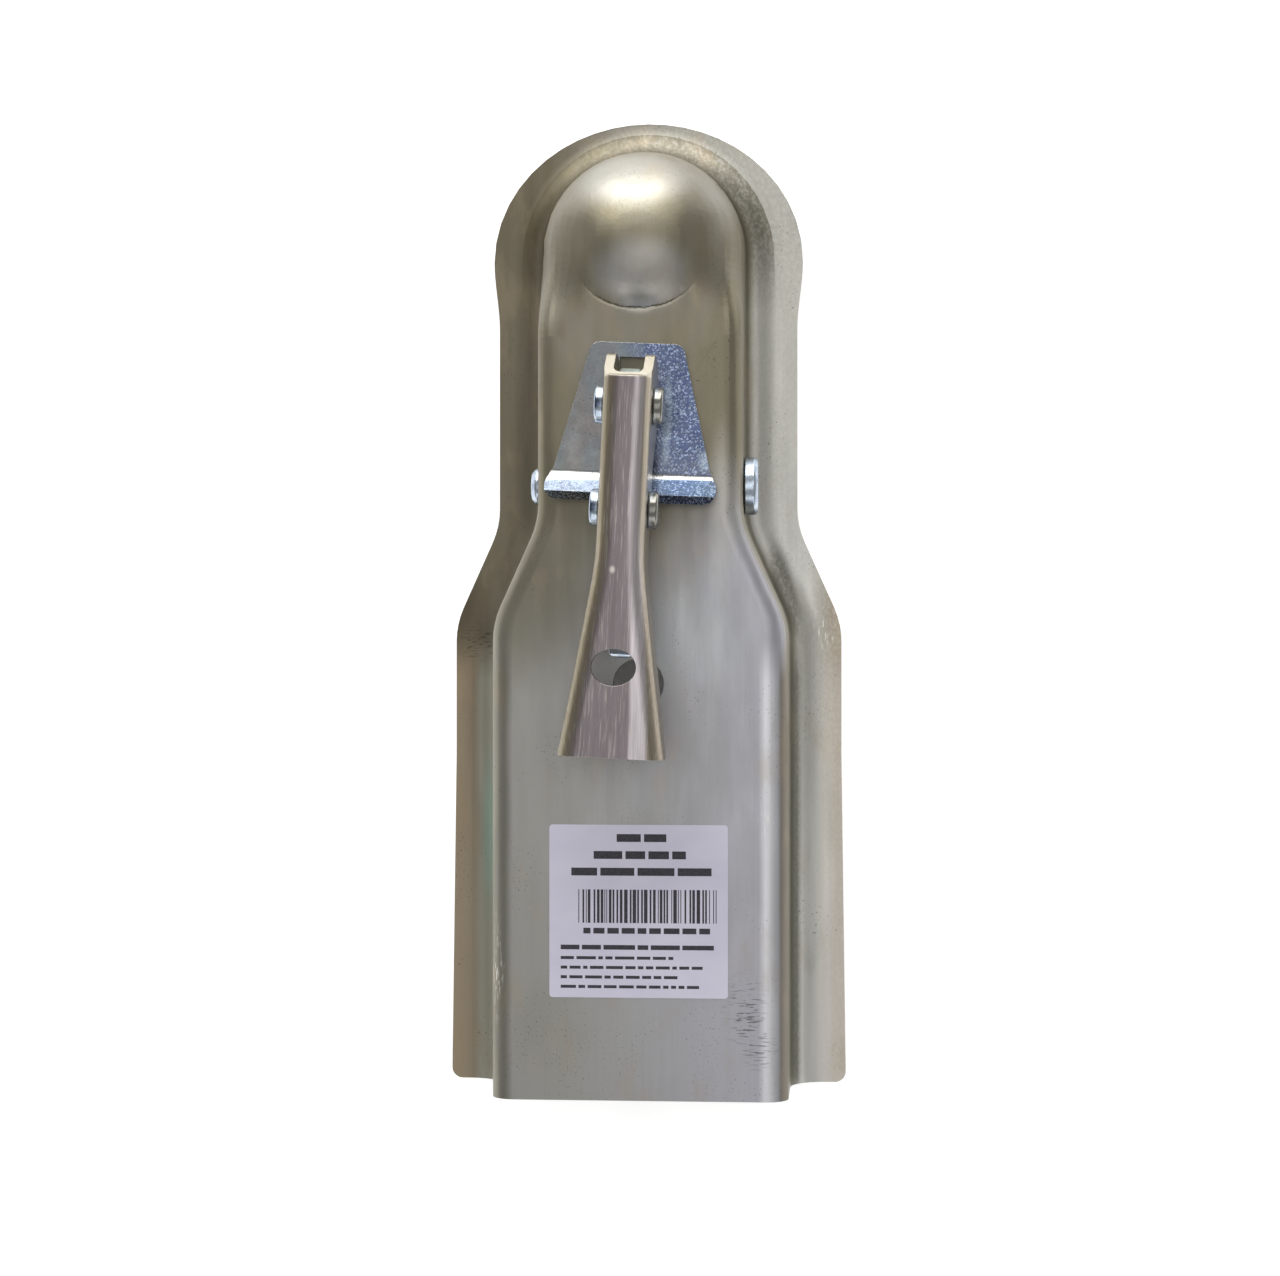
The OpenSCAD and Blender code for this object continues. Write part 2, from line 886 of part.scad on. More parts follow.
module ball_clamp() {
    cup_r = ball_d / 2 + clamp_clearance;
    shell = 4;
    low = flange_bottom + 2.5;
    ear_r = pin_d / 2 + 4;
    nose = -pin_y + 46.5;
    bolt_sway = bolt_d / 5;
    slot_half = bolt_d / 2 + 0.5;
    cheek = rounded([
        [-pin_y, pin_z + ear_r, 0],
        [-bolt_y, bridge_top, 8],
        [-ball_d / 2 - 2, bridge_top - 2, 2],
        [nose + 8, -4, 0],
        [nose + 3, low, 0],
        [nose - 6, low, 4],
        [-bolt_y + 4, pin_z - 13, 8],
        [-pin_y, pin_z - ear_r, 0]
    ]);
    color([0.58, 0.57, 0.52])
        difference() {
            union() {
                for (side = [-1, 1])
                    translate([side * (clamp_w - cheek_t) / 2, 0, 0]) {
                        side_plate(cheek, cheek_t);
                        translate([0, -pin_y, pin_z])
                            x_cylinder(ear_r, cheek_t);
                    }
                translate([-clamp_w / 2, -pin_y + 6, bridge_under])
                    cube([clamp_w, pin_y - 6 - ball_d / 2, bridge_t]);
                intersection() {
                    translate([bolt_x, -bolt_y, seat_z])
                        sphere(r = seat_r, $fn = 96);
                    translate([-15, -bolt_y - 15, seat_z - seat_r - 1])
                        cube([30, 30, bridge_top - seat_z + seat_r]);
                }
                intersection() {
                    sphere(r = cup_r + shell, $fn = 96);
                    translate([-clamp_w / 2, -pin_y, low])
                        cube([clamp_w, pin_y - 10, bridge_top - low]);
                }
            }
            sphere(r = cup_r, $fn = 96);
            translate([0, -pin_y, pin_z])
                x_cylinder(pin_d / 2 + run, clamp_w + 2);
            translate([bolt_x, -bolt_y, bridge_under - seat_r]) {
                for (end = [-bolt_sway, bolt_sway])
                    translate([0, end, 0])
                        cylinder(r = slot_half, h = 2 * seat_r);
                translate([-slot_half, -bolt_sway, 0])
                    cube([2 * slot_half, 2 * bolt_sway, 2 * seat_r]);
            }
        }
}

// One turned profile: the peened end on the left, the shank, and the head on the right.
module clamp_pin() {
    r = pin_d / 2;
    R = pin_head_d / 2;
    edge = pin_head_t / 4;
    peened = r + pin_peen;
    left = -neck_half - slip;
    right = neck_half + slip;
    color([0.75, 0.78, 0.82])
        translate([0, -pin_y, pin_z])
            rotate([0, 90, 0])
                rotate_extrude()
                    polygon([
                        [0, left - 3.5 * pin_peen],
                        [r - pin_peen, left - 3.5 * pin_peen],
                        [peened, left - 1.5 * pin_peen],
                        [peened, left],
                        [r, left],
                        [r, right],
                        [R, right],
                        [R, right + pin_head_t - edge],
                        [R - edge, right + pin_head_t],
                        [0, right + pin_head_t]
                    ]);
}

module label() {
    color([0.86, 0.84, 0.9])
        translate([-label_w / 2, -label_y - label_l / 2, web_top])
            cube([label_w, label_l, label_t]);
}

coupler_body();
latch_plate();
lever();
lever_pivot_rivet();
trigger();
trigger_rivet();
trigger_spring();
draw_bolt();
adjusting_nut();
nut_insert();
rocker_washer();
spring_top_washer();
clamp_spring();
spring_seat();
ball_clamp();
clamp_pin();
label();
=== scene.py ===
"""Looks of a pressed-steel trailer coupling head: plating, cut edges, threads, sticker and a plain studio."""

import json
import math
import random

import bmesh
import bpy
from bpy.props import FloatProperty, FloatVectorProperty, PointerProperty
from mathutils import Matrix, Vector
from mathutils.bvhtree import BVHTree


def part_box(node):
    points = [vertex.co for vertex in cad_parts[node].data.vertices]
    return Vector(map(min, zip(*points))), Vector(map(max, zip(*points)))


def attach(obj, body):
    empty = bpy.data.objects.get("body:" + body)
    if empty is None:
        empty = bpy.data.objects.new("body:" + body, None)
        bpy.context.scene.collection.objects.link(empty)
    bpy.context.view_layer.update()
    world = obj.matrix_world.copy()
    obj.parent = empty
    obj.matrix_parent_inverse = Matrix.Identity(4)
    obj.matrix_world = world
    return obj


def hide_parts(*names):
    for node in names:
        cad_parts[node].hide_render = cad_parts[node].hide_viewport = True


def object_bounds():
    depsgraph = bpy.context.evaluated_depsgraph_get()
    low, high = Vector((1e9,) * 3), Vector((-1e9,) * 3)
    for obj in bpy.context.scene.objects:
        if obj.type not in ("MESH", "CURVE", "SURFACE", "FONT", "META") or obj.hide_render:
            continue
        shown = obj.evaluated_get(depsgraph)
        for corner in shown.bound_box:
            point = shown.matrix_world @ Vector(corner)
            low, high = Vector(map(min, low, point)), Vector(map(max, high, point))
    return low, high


bl_info = {
    "name": "Trailer coupling head looks",
    "version": (1, 0, 0),
    "blender": (4, 5, 0),
    "location": "3D View > Sidebar > Coupling",
    "description": "Dresses the trailer coupling head and builds its studio",
    "category": "Object",
}

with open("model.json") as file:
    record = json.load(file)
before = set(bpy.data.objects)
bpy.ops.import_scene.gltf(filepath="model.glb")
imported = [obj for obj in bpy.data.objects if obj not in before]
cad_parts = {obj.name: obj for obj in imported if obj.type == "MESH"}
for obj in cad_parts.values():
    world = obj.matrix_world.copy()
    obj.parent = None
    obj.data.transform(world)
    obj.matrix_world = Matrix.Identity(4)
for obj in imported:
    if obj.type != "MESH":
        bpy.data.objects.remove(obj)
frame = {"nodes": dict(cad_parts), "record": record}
CAD_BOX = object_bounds()
MM = 0.001
UP = (0, 0, 1)

# Height of the web, radius of the dome's outer skin, and radius of the crease where the dome meets the web
WEB_TOP = 21.5 * MM
DOME = 28.9 * MM
CREASE = 19.3 * MM
# The press pushes the crease's middle forward, and less so out to its ends
CREASE_BOW = 1.3 * MM
CREASE_HALF = 16 * MM
# Place and turn of the latch: its draw bolt, and its small turn about that bolt
LATCH_TURN = math.radians(-2.7)
LATCH = Matrix.Translation((-0.9 * MM, -47.3 * MM, 0)) @ Matrix.Rotation(LATCH_TURN, 4, "Z")
LATCH_SIDE, LATCH_LONG, _ = LATCH.to_3x3().col
# Directions that the bent lip at the plate's rear faces, with its upper side and with its sheared end
LIP_TILT = math.radians(47)
LIP_UP = LATCH.to_3x3() @ Vector((0, math.sin(LIP_TILT), math.cos(LIP_TILT)))
LIP_END = LATCH.to_3x3() @ Vector((0, -math.cos(LIP_TILT), math.sin(LIP_TILT)))


def linear(code):
    """The linear colour of an sRGB hex value."""
    out = []
    for i in (0, 2, 4):
        v = int(code[i : i + 2], 16) / 255
        out.append(v / 12.92 if v <= 0.04045 else ((v + 0.055) / 1.055) ** 2.4)
    return tuple(out)


def rgba(code):
    """The same with an alpha of 1."""
    return (*linear(code), 1.0)


# Sizes and colours that a user may change


def colour_of(name, description, code):
    """A colour that a user may change."""
    return FloatVectorProperty(
        name=name, description=description, subtype="COLOR", size=3, min=0, max=1, default=linear(code)
    )


def length_of(name, description, default_mm, low_mm, high_mm):
    """A length that a user may change."""
    return FloatProperty(
        name=name,
        description=description,
        default=default_mm * MM,
        min=low_mm * MM,
        max=high_mm * MM,
        precision=5,
        unit="LENGTH",
    )


class CouplingBodyLooks(bpy.types.PropertyGroup):
    """Finish of the pressed body."""

    edge: length_of("Edge break", "Width of the small round on the body's cut edges", 0.5, 0.1, 1.0)
    neck_colour: colour_of("Neck colour", "Olive cast of the thicker plating round the dome and neck", "7F7967")
    # Painted light: the tail's right half is set lighter than its left, as if lit from the right; the warm and cool
    # tones are the plating's
    tail_left_shaded_colour: colour_of("Tail colour, left", "Warm grey of the plating on the tail's left half", "9D9C98")
    tail_right_lit_colour: colour_of(
        "Tail colour, right", "Cool light grey of the plating on the tail's right half", "AFAFB7"
    )


class CouplingLatchLooks(bpy.types.PropertyGroup):
    """Finish of the latch's plate, lever and bolt."""

    plate_edge: length_of(
        "Plate edge break", "Width of the small round on the latch plate's sheared edges", 0.35, 0.1, 0.8
    )
    thread_pitch: length_of("Thread pitch", "Pitch of the draw bolt's thread", 1.25, 1.0, 1.5)
    plate_colour: colour_of("Plate colour", "Blue-white of the bright zinc on the latch plate", "B9C4D3")
    lever_colour: colour_of("Lever colour", "Warm grey of the lever's zinc", "8C847E")


class CouplingLabelLooks(bpy.types.PropertyGroup):
    """Finish of the sticker."""

    corner: length_of("Corner radius", "Radius of the sticker's corners", 0.9, 0.0, 4)
    paper_colour: colour_of("Paper colour", "Pale lilac-white of the sticker", "BDBACB")


class CouplingStageLooks(bpy.types.PropertyGroup):
    """Light of the studio."""

    room_light: FloatProperty(
        name="Room light",
        description="Strength of the even light from all sides",
        default=0.42,
        min=0.0,
        max=2.0,
    )


# Small tools for materials and meshes


def add(tree, kind, inputs=None, **settings):
    """Adds a node, sets its settings, and gives each input its value or its link."""
    made = tree.nodes.new(kind)
    for key, value in settings.items():
        setattr(made, key, value)
    for key, part in (inputs or {}).items():
        if isinstance(part, bpy.types.NodeSocket):
            tree.links.new(part, made.inputs[key])
        else:
            made.inputs[key].default_value = part
    return made


def new_material(name):
    """An empty node material with its object coordinates, shader and output."""
    mat = bpy.data.materials.new(name)
    mat.use_nodes = True
    tree = mat.node_tree
    tree.nodes.clear()
    coords = add(tree, "ShaderNodeTexCoord").outputs["Object"]
    shader = add(tree, "ShaderNodeBsdfPrincipled")
    add(tree, "ShaderNodeOutputMaterial", {"Surface": shader.outputs[0]})
    return mat, tree, coords, shader


def stretched_noise(tree, coords, size_mm, low=0.0, high=1.0, detail=3.0, turn=0.0, at=(0, 0, 0)):
    """A noise whose grains are size_mm across along x, y and z, spread from low to high."""
    placed = add(
        tree,
        "ShaderNodeMapping",
        {"Vector": coords, "Location": at, "Rotation": (0, 0, turn), "Scale": [1 / (s * MM) for s in size_mm]},
    )
    noise = add(
        tree, "ShaderNodeTexNoise", {"Vector": placed.outputs[0], "Scale": 1.0, "Detail": detail, "Roughness": 0.55}
    )
    spread = add(
        tree,
        "ShaderNodeMapRange",
        {"Value": noise.outputs["Fac"], "From Min": 0.3, "From Max": 0.7, "To Min": low, "To Max": high},
    )
    return spread.outputs[0]


def patch(tree, coords, centre_mm, reach_mm, inner=0.2, turn=0.0):
    """A soft patch: 1 at its centre and 0 past its reach along x, y and z."""
    moved = add(
        tree,
        "ShaderNodeMapping",
        {
            "Vector": coords,
            "Location": [c * MM for c in centre_mm],
            "Rotation": (0, 0, turn),
            "Scale": [r * MM for r in reach_mm],
        },
        vector_type="TEXTURE",
    )
    away = add(tree, "ShaderNodeVectorMath", {0: moved.outputs[0]}, operation="LENGTH")
    soft = add(
        tree,
        "ShaderNodeMapRange",
        {"Value": away.outputs["Value"], "From Min": inner, "From Max": 1.0, "To Min": 1.0, "To Max": 0.0},
        interpolation_type="SMOOTHSTEP",
    )
    return soft.outputs[0]


def product(tree, *parts):
    """Masks and shares multiplied: where all the masks meet. Each part is a socket or a number."""
    out = parts[0]
    for part in parts[1:]:
        out = add(tree, "ShaderNodeMath", {0: out, 1: part}, operation="MULTIPLY").outputs[0]
    return out


def above(tree, value, edge, soft=0.04):
    """0 below the edge and 1 above it, with a short run between. A negative run turns it round."""
    return add(
        tree, "ShaderNodeMapRange", {"Value": value, "From Min": edge - soft, "From Max": edge + soft}
    ).outputs[0]


def between(tree, value, low, high, soft):
    """1 between two edges and 0 outside them."""
    return product(tree, above(tree, value, low, soft), above(tree, value, high, -soft))


def coat(tree, under, over, *shares):
    """A colour laid over another by the product of its shares. Colours are sockets, four numbers or sRGB hex values."""
    under, over = (rgba(colour) if isinstance(colour, str) else colour for colour in (under, over))
    return add(tree, "ShaderNodeMix", {0: product(tree, *shares), 6: under, 7: over}, data_type="RGBA").outputs[2]


def bumps(tree, shader, height, strength, depth_mm, under=None):
    """Raises the surface by a height value, over an earlier bump where one is given."""
    made = add(tree, "ShaderNodeBump", {"Height": height, "Strength": strength, "Distance": depth_mm * MM})
    if under is not None:
        tree.links.new(under, made.inputs["Normal"])
    tree.links.new(made.outputs[0], shader.inputs["Normal"])
    return made.outputs[0]


def plated(tree, shader, colour, smooth, dull, by):
    """Finishes a metal: its colour, and a roughness that goes from smooth to dull by a value."""
    rough = add(tree, "ShaderNodeMapRange", {"Value": by, "To Min": smooth, "To Max": dull}).outputs[0]
    tree.links.new(colour, shader.inputs["Base Color"])
    tree.links.new(rough, shader.inputs["Roughness"])
    shader.inputs["Metallic"].default_value = 1.0
    return rough


def along_latch(tree, coords):
    """Coordinates in the latch's own frame, with its origin on the draw bolt."""
    place = {"Vector": coords, "Location": tuple(LATCH.translation), "Rotation": (0, 0, LATCH_TURN)}
    return add(tree, "ShaderNodeMapping", place, vector_type="TEXTURE").outputs[0]


def facing(tree, direction):
    """How far the true surface faces a direction in the piece's own space, from -1 to 1, the same at every pose."""
    normal = add(tree, "ShaderNodeNewGeometry").outputs["True Normal"]
    own = add(
        tree,
        "ShaderNodeVectorTransform",
        {"Vector": normal},
        vector_type="NORMAL",
        convert_from="WORLD",
        convert_to="OBJECT",
    )
    made = add(tree, "ShaderNodeVectorMath", {0: own.outputs[0], 1: tuple(direction)}, operation="DOT_PRODUCT")
    return made.outputs["Value"]


def as_object(name, bm, material, body, replaced=()):
    """Turns a bmesh into a finished piece that rides on a body and stands for CAD nodes."""
    mesh = bpy.data.meshes.new(name)
    bm.to_mesh(mesh)
    bm.free()
    for layer_name in ("custom_normal", "sharp_face"):
        if layer_name in mesh.attributes:
            mesh.attributes.remove(mesh.attributes[layer_name])
    for uv in list(mesh.uv_layers):
        mesh.uv_layers.remove(uv)
    mesh.materials.clear()
    mesh.materials.append(material)
    obj = bpy.data.objects.new(name, mesh)
    bpy.context.scene.collection.objects.link(obj)
    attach(obj, body)
    if replaced:
        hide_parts(*replaced)
    return obj


def cad_copy(node, flat=0.4):
    """A merged copy of a CAD node's mesh, with its flat faces joined and no stored normals."""
    source = frame["nodes"][node]
    bm = bmesh.new()
    bm.from_mesh(source.data)
    bmesh.ops.remove_doubles(bm, verts=bm.verts, dist=2e-6)
    if flat:
        bmesh.ops.dissolve_limit(
            bm,
            angle_limit=math.radians(flat),
            use_dissolve_boundaries=False,
            verts=bm.verts,
            edges=bm.edges,
            delimit=set(),
        )
    for face in bm.faces:
        face.smooth = True
    return bm


def smooth_by_angle(bm, degrees):
    """Shades all faces smooth, and keeps the edges sharper than the angle."""
    limit = math.radians(degrees)
    for face in bm.faces:
        face.smooth = True
    for edge in bm.edges:
        edge.smooth = len(edge.link_faces) != 2 or edge.calc_face_angle(0) < limit


def break_edges(obj, width, degrees, segments):
    """Gives sharp edges a small round, and flat faces a flat shading."""
    bevel = obj.modifiers.new("edge break", "BEVEL")
    bevel.width = width
    bevel.segments = segments
    bevel.limit_method = "ANGLE"
    bevel.angle_limit = math.radians(degrees)
    bevel.miter_outer = "MITER_ARC"
    bevel.use_clamp_overlap = True
    weigh = obj.modifiers.new("flat faces", "WEIGHTED_NORMAL")
    weigh.keep_sharp = True
    weigh.weight = 80


def body_of(node):
    """The body that a CAD node rides on."""
    for name, members in frame["record"]["behaviour"]["bodies"].items():
        if node in members:
            return name
    raise RuntimeError("no body holds " + node)


def dress(node, material, width, degrees=40, segments=2, sharp=60):
    """A CAD node's shape as a finished piece: merged, with its edges broken."""
    bm = cad_copy(node)
    smooth_by_angle(bm, sharp)
    obj = as_object(node + "_shape", bm, material, body_of(node), (node,))
    if width:
        break_edges(obj, width, degrees, segments)
    return obj


# Materials


def passivated_body_zinc(looks):
    """Deep-drawn sheet steel, zinc plated with a thin passivated film.

    Satin, with an olive cast round the neck where the film is thicker, a neutral grey tail, fine drawing lines along
    its length, faint tan and teal film at the flanges, and the small scuffs and dark pits of handling.
    """
    mat, tree, coords, shader = new_material("passivated_body_zinc")
    x, y, z = add(tree, "ShaderNodeSeparateXYZ", {"Vector": coords}).outputs
    # Left to right across the tail, with painted light: the right half lighter than the left
    right = add(
        tree,
        "ShaderNodeMapRange",
        {"Value": x, "From Min": -0.03, "From Max": 0.036},
        interpolation_type="SMOOTHSTEP",
    ).outputs[0]
    # The neck's thicker film ends on a slant behind the shoulders, and wanders over patches 30 to 50 mm across
    slant = add(tree, "ShaderNodeMath", {0: x, 1: -0.7, 2: y}, operation="MULTIPLY_ADD").outputs[0]
    neck = add(
        tree,
        "ShaderNodeMapRange",
        {"Value": slant, "From Min": -0.118, "From Max": -0.066},
        interpolation_type="SMOOTHSTEP",
    ).outputs[0]
    cloud = stretched_noise(tree, coords, (34, 52, 34), -0.3, 0.2, 3.0)
    film = add(tree, "ShaderNodeMath", {0: neck, 1: cloud}, operation="ADD", use_clamp=True).outputs[0]
    # It stays on the drawn walls and their rounded edges too, and is laid into the neck's lower walls and coves below
    # the web as painted shade
    upward = facing(tree, UP)
    drawn = product(tree, above(tree, upward, 0.5, -0.18), 0.9)
    coved_shade = product(
        tree, above(tree, upward, 0.88, -0.08), above(tree, z, 0.0, -0.004), above(tree, y, -0.082, -0.01), 0.9
    )
    drawn = add(tree, "ShaderNodeMath", {0: drawn, 1: coved_shade}, operation="MAXIMUM").outputs[0]
    film = add(tree, "ShaderNodeMath", {0: film, 1: drawn}, operation="MAXIMUM").outputs[0]
    tail = coat(tree, (*looks.tail_left_shaded_colour, 1), (*looks.tail_right_lit_colour, 1), right)
    colour = coat(tree, tail, (*looks.neck_colour, 1), film)
    # Painted shade on the steep sides, left off the slopes that face the front
    front = above(tree, facing(tree, (0, 1, 0)), 0.25, -0.2)
    steep_shade = product(
        tree, above(tree, upward, 0.6, -0.22), front, above(tree, z, -0.006, 0.003), above(tree, y, -0.07, 0.02)
    )
    colour = coat(tree, colour, "665F4C", steep_shade, 0.62)
    # Painted highlight on the dome's front, and painted light behind its top, which leaves it greyer than the neck
    colour = coat(tree, colour, "DEDEDC", patch(tree, coords, (-2, 19, 20), (21, 13, 19), 0.45), 0.25)
    colour = coat(tree, colour, "B0AEAC", patch(tree, coords, (1, -9, 25), (18, 13, 14), 0.35), 0.85)
    rubbed = stretched_noise(tree, coords, (0.45, 0.7, 0.45), at=(6, 6, 2))
    worn = product(tree, patch(tree, coords, (-1, 8, 27), (21, 6.5, 9), 0.2), above(tree, rubbed, 0.62, 0.2))
    colour = coat(tree, colour, "77715F", worn, 0.6)
    # In turn: a painted highlight on the dome's back above the crease, painted shade down the dome's left and right
    # sides, painted shade on the web's left, and a painted highlight streak along the web's right edge beside the latch
    for code, centre, reach, inner, share in (
        ("CDCCC8", (0, -17.3, 22), (6, 3, 5), 0.2, 0.7),
        ("625C4C", (-22, 1, 16), (7, 15, 12), 0.2, 0.55),
        ("625C4C", (22, 1, 16), (7, 15, 12), 0.2, 0.3),
        ("645F52", (-26, -98, 21), (24, 34, 6), 0.1, 0.55),
        ("CBC8C3", (24, -74, 21), (6, 30, 5), 0.1, 0.5),
    ):
        colour = coat(tree, colour, code, patch(tree, coords, centre, reach, inner), share)
    # The flanges: painted shade on the left and painted light on the right, both lighter towards the rear, with a
    # darker patch at the right shoulder and tan film towards the outer edge
    flange = above(tree, z, -0.0105, -0.002)
    outer = add(tree, "ShaderNodeMath", {0: x}, operation="ABSOLUTE").outputs[0]
    rightmost = above(tree, x, 0.0, 0.03)
    rearward = add(
        tree, "ShaderNodeMapRange", {"Value": y, "From Min": -0.19, "From Max": -0.12, "To Min": 1.0, "To Max": 0.0}
    ).outputs[0]
    shaded_left_rim = coat(tree, "6F6858", "8B8471", rearward)
    lit_right_rim = coat(tree, "C6C5BE", "E4E4E0", rearward)
    painted_light_rim = coat(tree, shaded_left_rim, lit_right_rim, rightmost)
    shoulder = patch(tree, coords, (57, -104, -14), (10, 24, 12), 0.2)
    painted_light_rim = coat(tree, painted_light_rim, "8D8879", shoulder, 0.75)
    colour = coat(tree, colour, painted_light_rim, flange, 0.85)
    # Painted shade in the cove round the nose, where the sheet was drawn in
    cove_shade = product(
        tree, above(tree, y, -0.004, 0.012), above(tree, z, -0.0035, -0.004), above(tree, upward, 0.985, -0.03)
    )
    colour = coat(tree, colour, "57503D", cove_shade, 0.8)
    # Tan film towards the flanges' outer edge, and a dark patch on the left flange at the shoulder
    edge_film = product(tree, above(tree, outer, 0.0515, 0.004), flange)
    colour = coat(tree, colour, "B09A7E", edge_film, 0.45)
    colour = coat(tree, colour, "4A4436", patch(tree, coords, (-57, -98, -14), (12, 27, 12), 0.3), 0.85)
    # Painted shade in the cove beside the right shoulder
    colour = coat(tree, colour, "4E4A3E", patch(tree, coords, (40.5, -97, -12), (4, 19, 13), 0.4, 0.265), 0.65)
    # Along the tail, painted light and shade: a painted highlight on the rounded edge, a darker wall and painted shade
    # in the cove on the right; the reverse of it, fainter, on the left
    tail_only = above(tree, y, -0.117, -0.006)
    top = above(tree, z, 0.008, 0.004)
    foot = above(tree, z, -0.008, -0.003)
    for low, soft, high, where, code, share in (
        (0.0346, 0.0009, 0.0389, top, "E2E2E6", 0.8),
        (0.0396, 0.0005, 0.0425, top, "70685A", 0.85),
        (0.0415, 0.0008, 0.0447, foot, "585B52", 0.8),
        (-0.0425, 0.0008, -0.0372, top, "7E7A6C", 0.65),
        (-0.0506, 0.0012, -0.0440, foot, "B4B1A4", 0.7),
    ):
        light_and_shade_band = product(tree, between(tree, x, low, high, soft), where, tail_only)
        colour = coat(tree, colour, code, light_and_shade_band, share)
    blotch = stretched_noise(tree, coords, (9, 22, 9), detail=4.0, at=(3, 1, 0))
    colour = coat(tree, colour, "A79378", above(tree, blotch, 0.78, 0.2), 0.22)
    # The right flange is finely mottled, with pale flecks about 1 mm across
    flecks = above(tree, stretched_noise(tree, coords, (0.9, 1.3, 0.9), detail=2.0, at=(2, 5, 8)), 0.6, 0.3)
    colour = coat(tree, colour, "DCDBD4", flecks, rightmost, flange, 0.2)
    # A teal streak of thicker film on the left flange
    colour = coat(tree, colour, "9DB5A6", patch(tree, coords, (-46.5, -168, -15.5), (3.6, 34, 9), 0.25), 0.75)
    # Milky stain on the web behind the neck
    stain = patch(tree, coords, (12, -112, 21.5), (30, 26, 5), 0.1)
    colour = coat(tree, colour, "B7BDBB", stain, stretched_noise(tree, coords, (14, 20, 10)), 0.5)
    # Fine drawing lines, 0.5 to 1 mm apart and some 40 mm long
    lines = stretched_noise(tree, coords, (0.8, 42, 0.8), detail=2.0)
    colour = coat(tree, colour, "7C786B", above(tree, lines, 0.62, 0.45), 0.06)
    broad = stretched_noise(tree, coords, (3.4, 60, 3.4), detail=2.0, at=(0, 7, 2))
    colour = coat(tree, colour, "BEBCB4", broad, 0.04)
    # Dark pits about 0.5 mm across, in loose clusters
    pits = stretched_noise(tree, coords, (0.55, 0.8, 0.55), detail=2.0)
    clusters = above(tree, stretched_noise(tree, coords, (17, 23, 17), detail=2.0, at=(9, 4, 1)), 0.66, 0.2)
    specks = product(tree, above(tree, pits, 0.93, 0.05), clusters)
    colour = coat(tree, colour, "4C4A45", specks, 0.7)
    # The crease behind the dome: a fine line of painted shade with a painted highlight on the lip behind it, in a
    # shallow V with a notch in its middle
    square = product(tree, x, x)
    ring = add(tree, "ShaderNodeMath", {0: square, 1: -1.0, 2: CREASE**2}, operation="MULTIPLY_ADD")
    arc = add(tree, "ShaderNodeMath", {0: ring.outputs[0]}, operation="SQRT").outputs[0]
    bow = {0: square, 1: CREASE_BOW / CREASE_HALF**2, 2: -CREASE_BOW}
    bend = add(tree, "ShaderNodeMath", bow, operation="MULTIPLY_ADD")
    behind = add(tree, "ShaderNodeMath", {0: y, 1: arc}, operation="ADD").outputs[0]
    behind = add(tree, "ShaderNodeMath", {0: behind, 1: bend.outputs[0]}, operation="ADD").outputs[0]
    wobble = stretched_noise(tree, coords, (1.3, 1.3, 1.3), -0.22 * MM, 0.22 * MM, 3.0, at=(1, 3, 5))
    behind = add(tree, "ShaderNodeMath", {0: behind, 1: wobble}, operation="ADD").outputs[0]
    reach = product(tree, above(tree, outer, 0.0125, -0.0035), above(tree, z, 0.0195, 0.0008))
    near = add(tree, "ShaderNodeMath", {0: behind}, operation="ABSOLUTE").outputs[0]
    crease_shade = product(tree, above(tree, near, 0.00022, -0.00014), reach)
    pale = add(tree, "ShaderNodeMath", {0: behind, 1: 0.0006}, operation="ADD").outputs[0]
    pale = add(tree, "ShaderNodeMath", {0: pale}, operation="ABSOLUTE").outputs[0]
    colour = coat(tree, colour, "C9C1AC", above(tree, pale, 0.00034, -0.0002), reach, 0.45)
    colour = coat(tree, colour, "4A4538", crease_shade, 0.85)
    # Dark scuffs on the left flange and specks at the rear right
    rub = stretched_noise(tree, coords, (3.2, 0.55, 3.2), at=(2, 2, 2))
    for centre, reach, share in (
        ((-50, -112, -15), (9, 7, 6), 0.9),
        ((30, -216, 21), (8, 15, 5), 0.75),
        ((34, -226, 21), (7, 9, 5), 0.6),
    ):
        place = product(tree, patch(tree, coords, centre, reach, 0.1), above(tree, rub, 0.72, 0.12))
        colour = coat(tree, colour, "3E3D3A", place, share)
    # White scratches on the web's right edge and at the shoulder
    scratch = stretched_noise(tree, coords, (0.5, 3.6, 0.5), detail=2.0, turn=0.2, at=(5, 5, 5))
    for centre, reach in (((36, -163, 20), (4, 6, 5)), ((52, -108, -15), (6, 9, 5)), ((-40, -205, 19), (3, 20, 6))):
        place = product(tree, patch(tree, coords, centre, reach, 0.15), above(tree, scratch, 0.78, 0.1))
        colour = coat(tree, colour, "E6E5DF", place, 0.8)
    # The sheared rear edge shows brighter steel
    rear = above(tree, facing(tree, (0, -1, 0)), 0.93, 0.03)
    colour = coat(tree, colour, "C9C5B8", rear, 0.6)
    plated(tree, shader, colour, 0.4, 0.52, stretched_noise(tree, coords, (5, 26, 5), detail=4.0, at=(1, 8, 3)))
    grain = bumps(tree, shader, stretched_noise(tree, coords, (1.6, 2.4, 1.6)), 0.25, 0.03)
    bumps(tree, shader, lines, 0.12, 0.02, grain)
    return mat


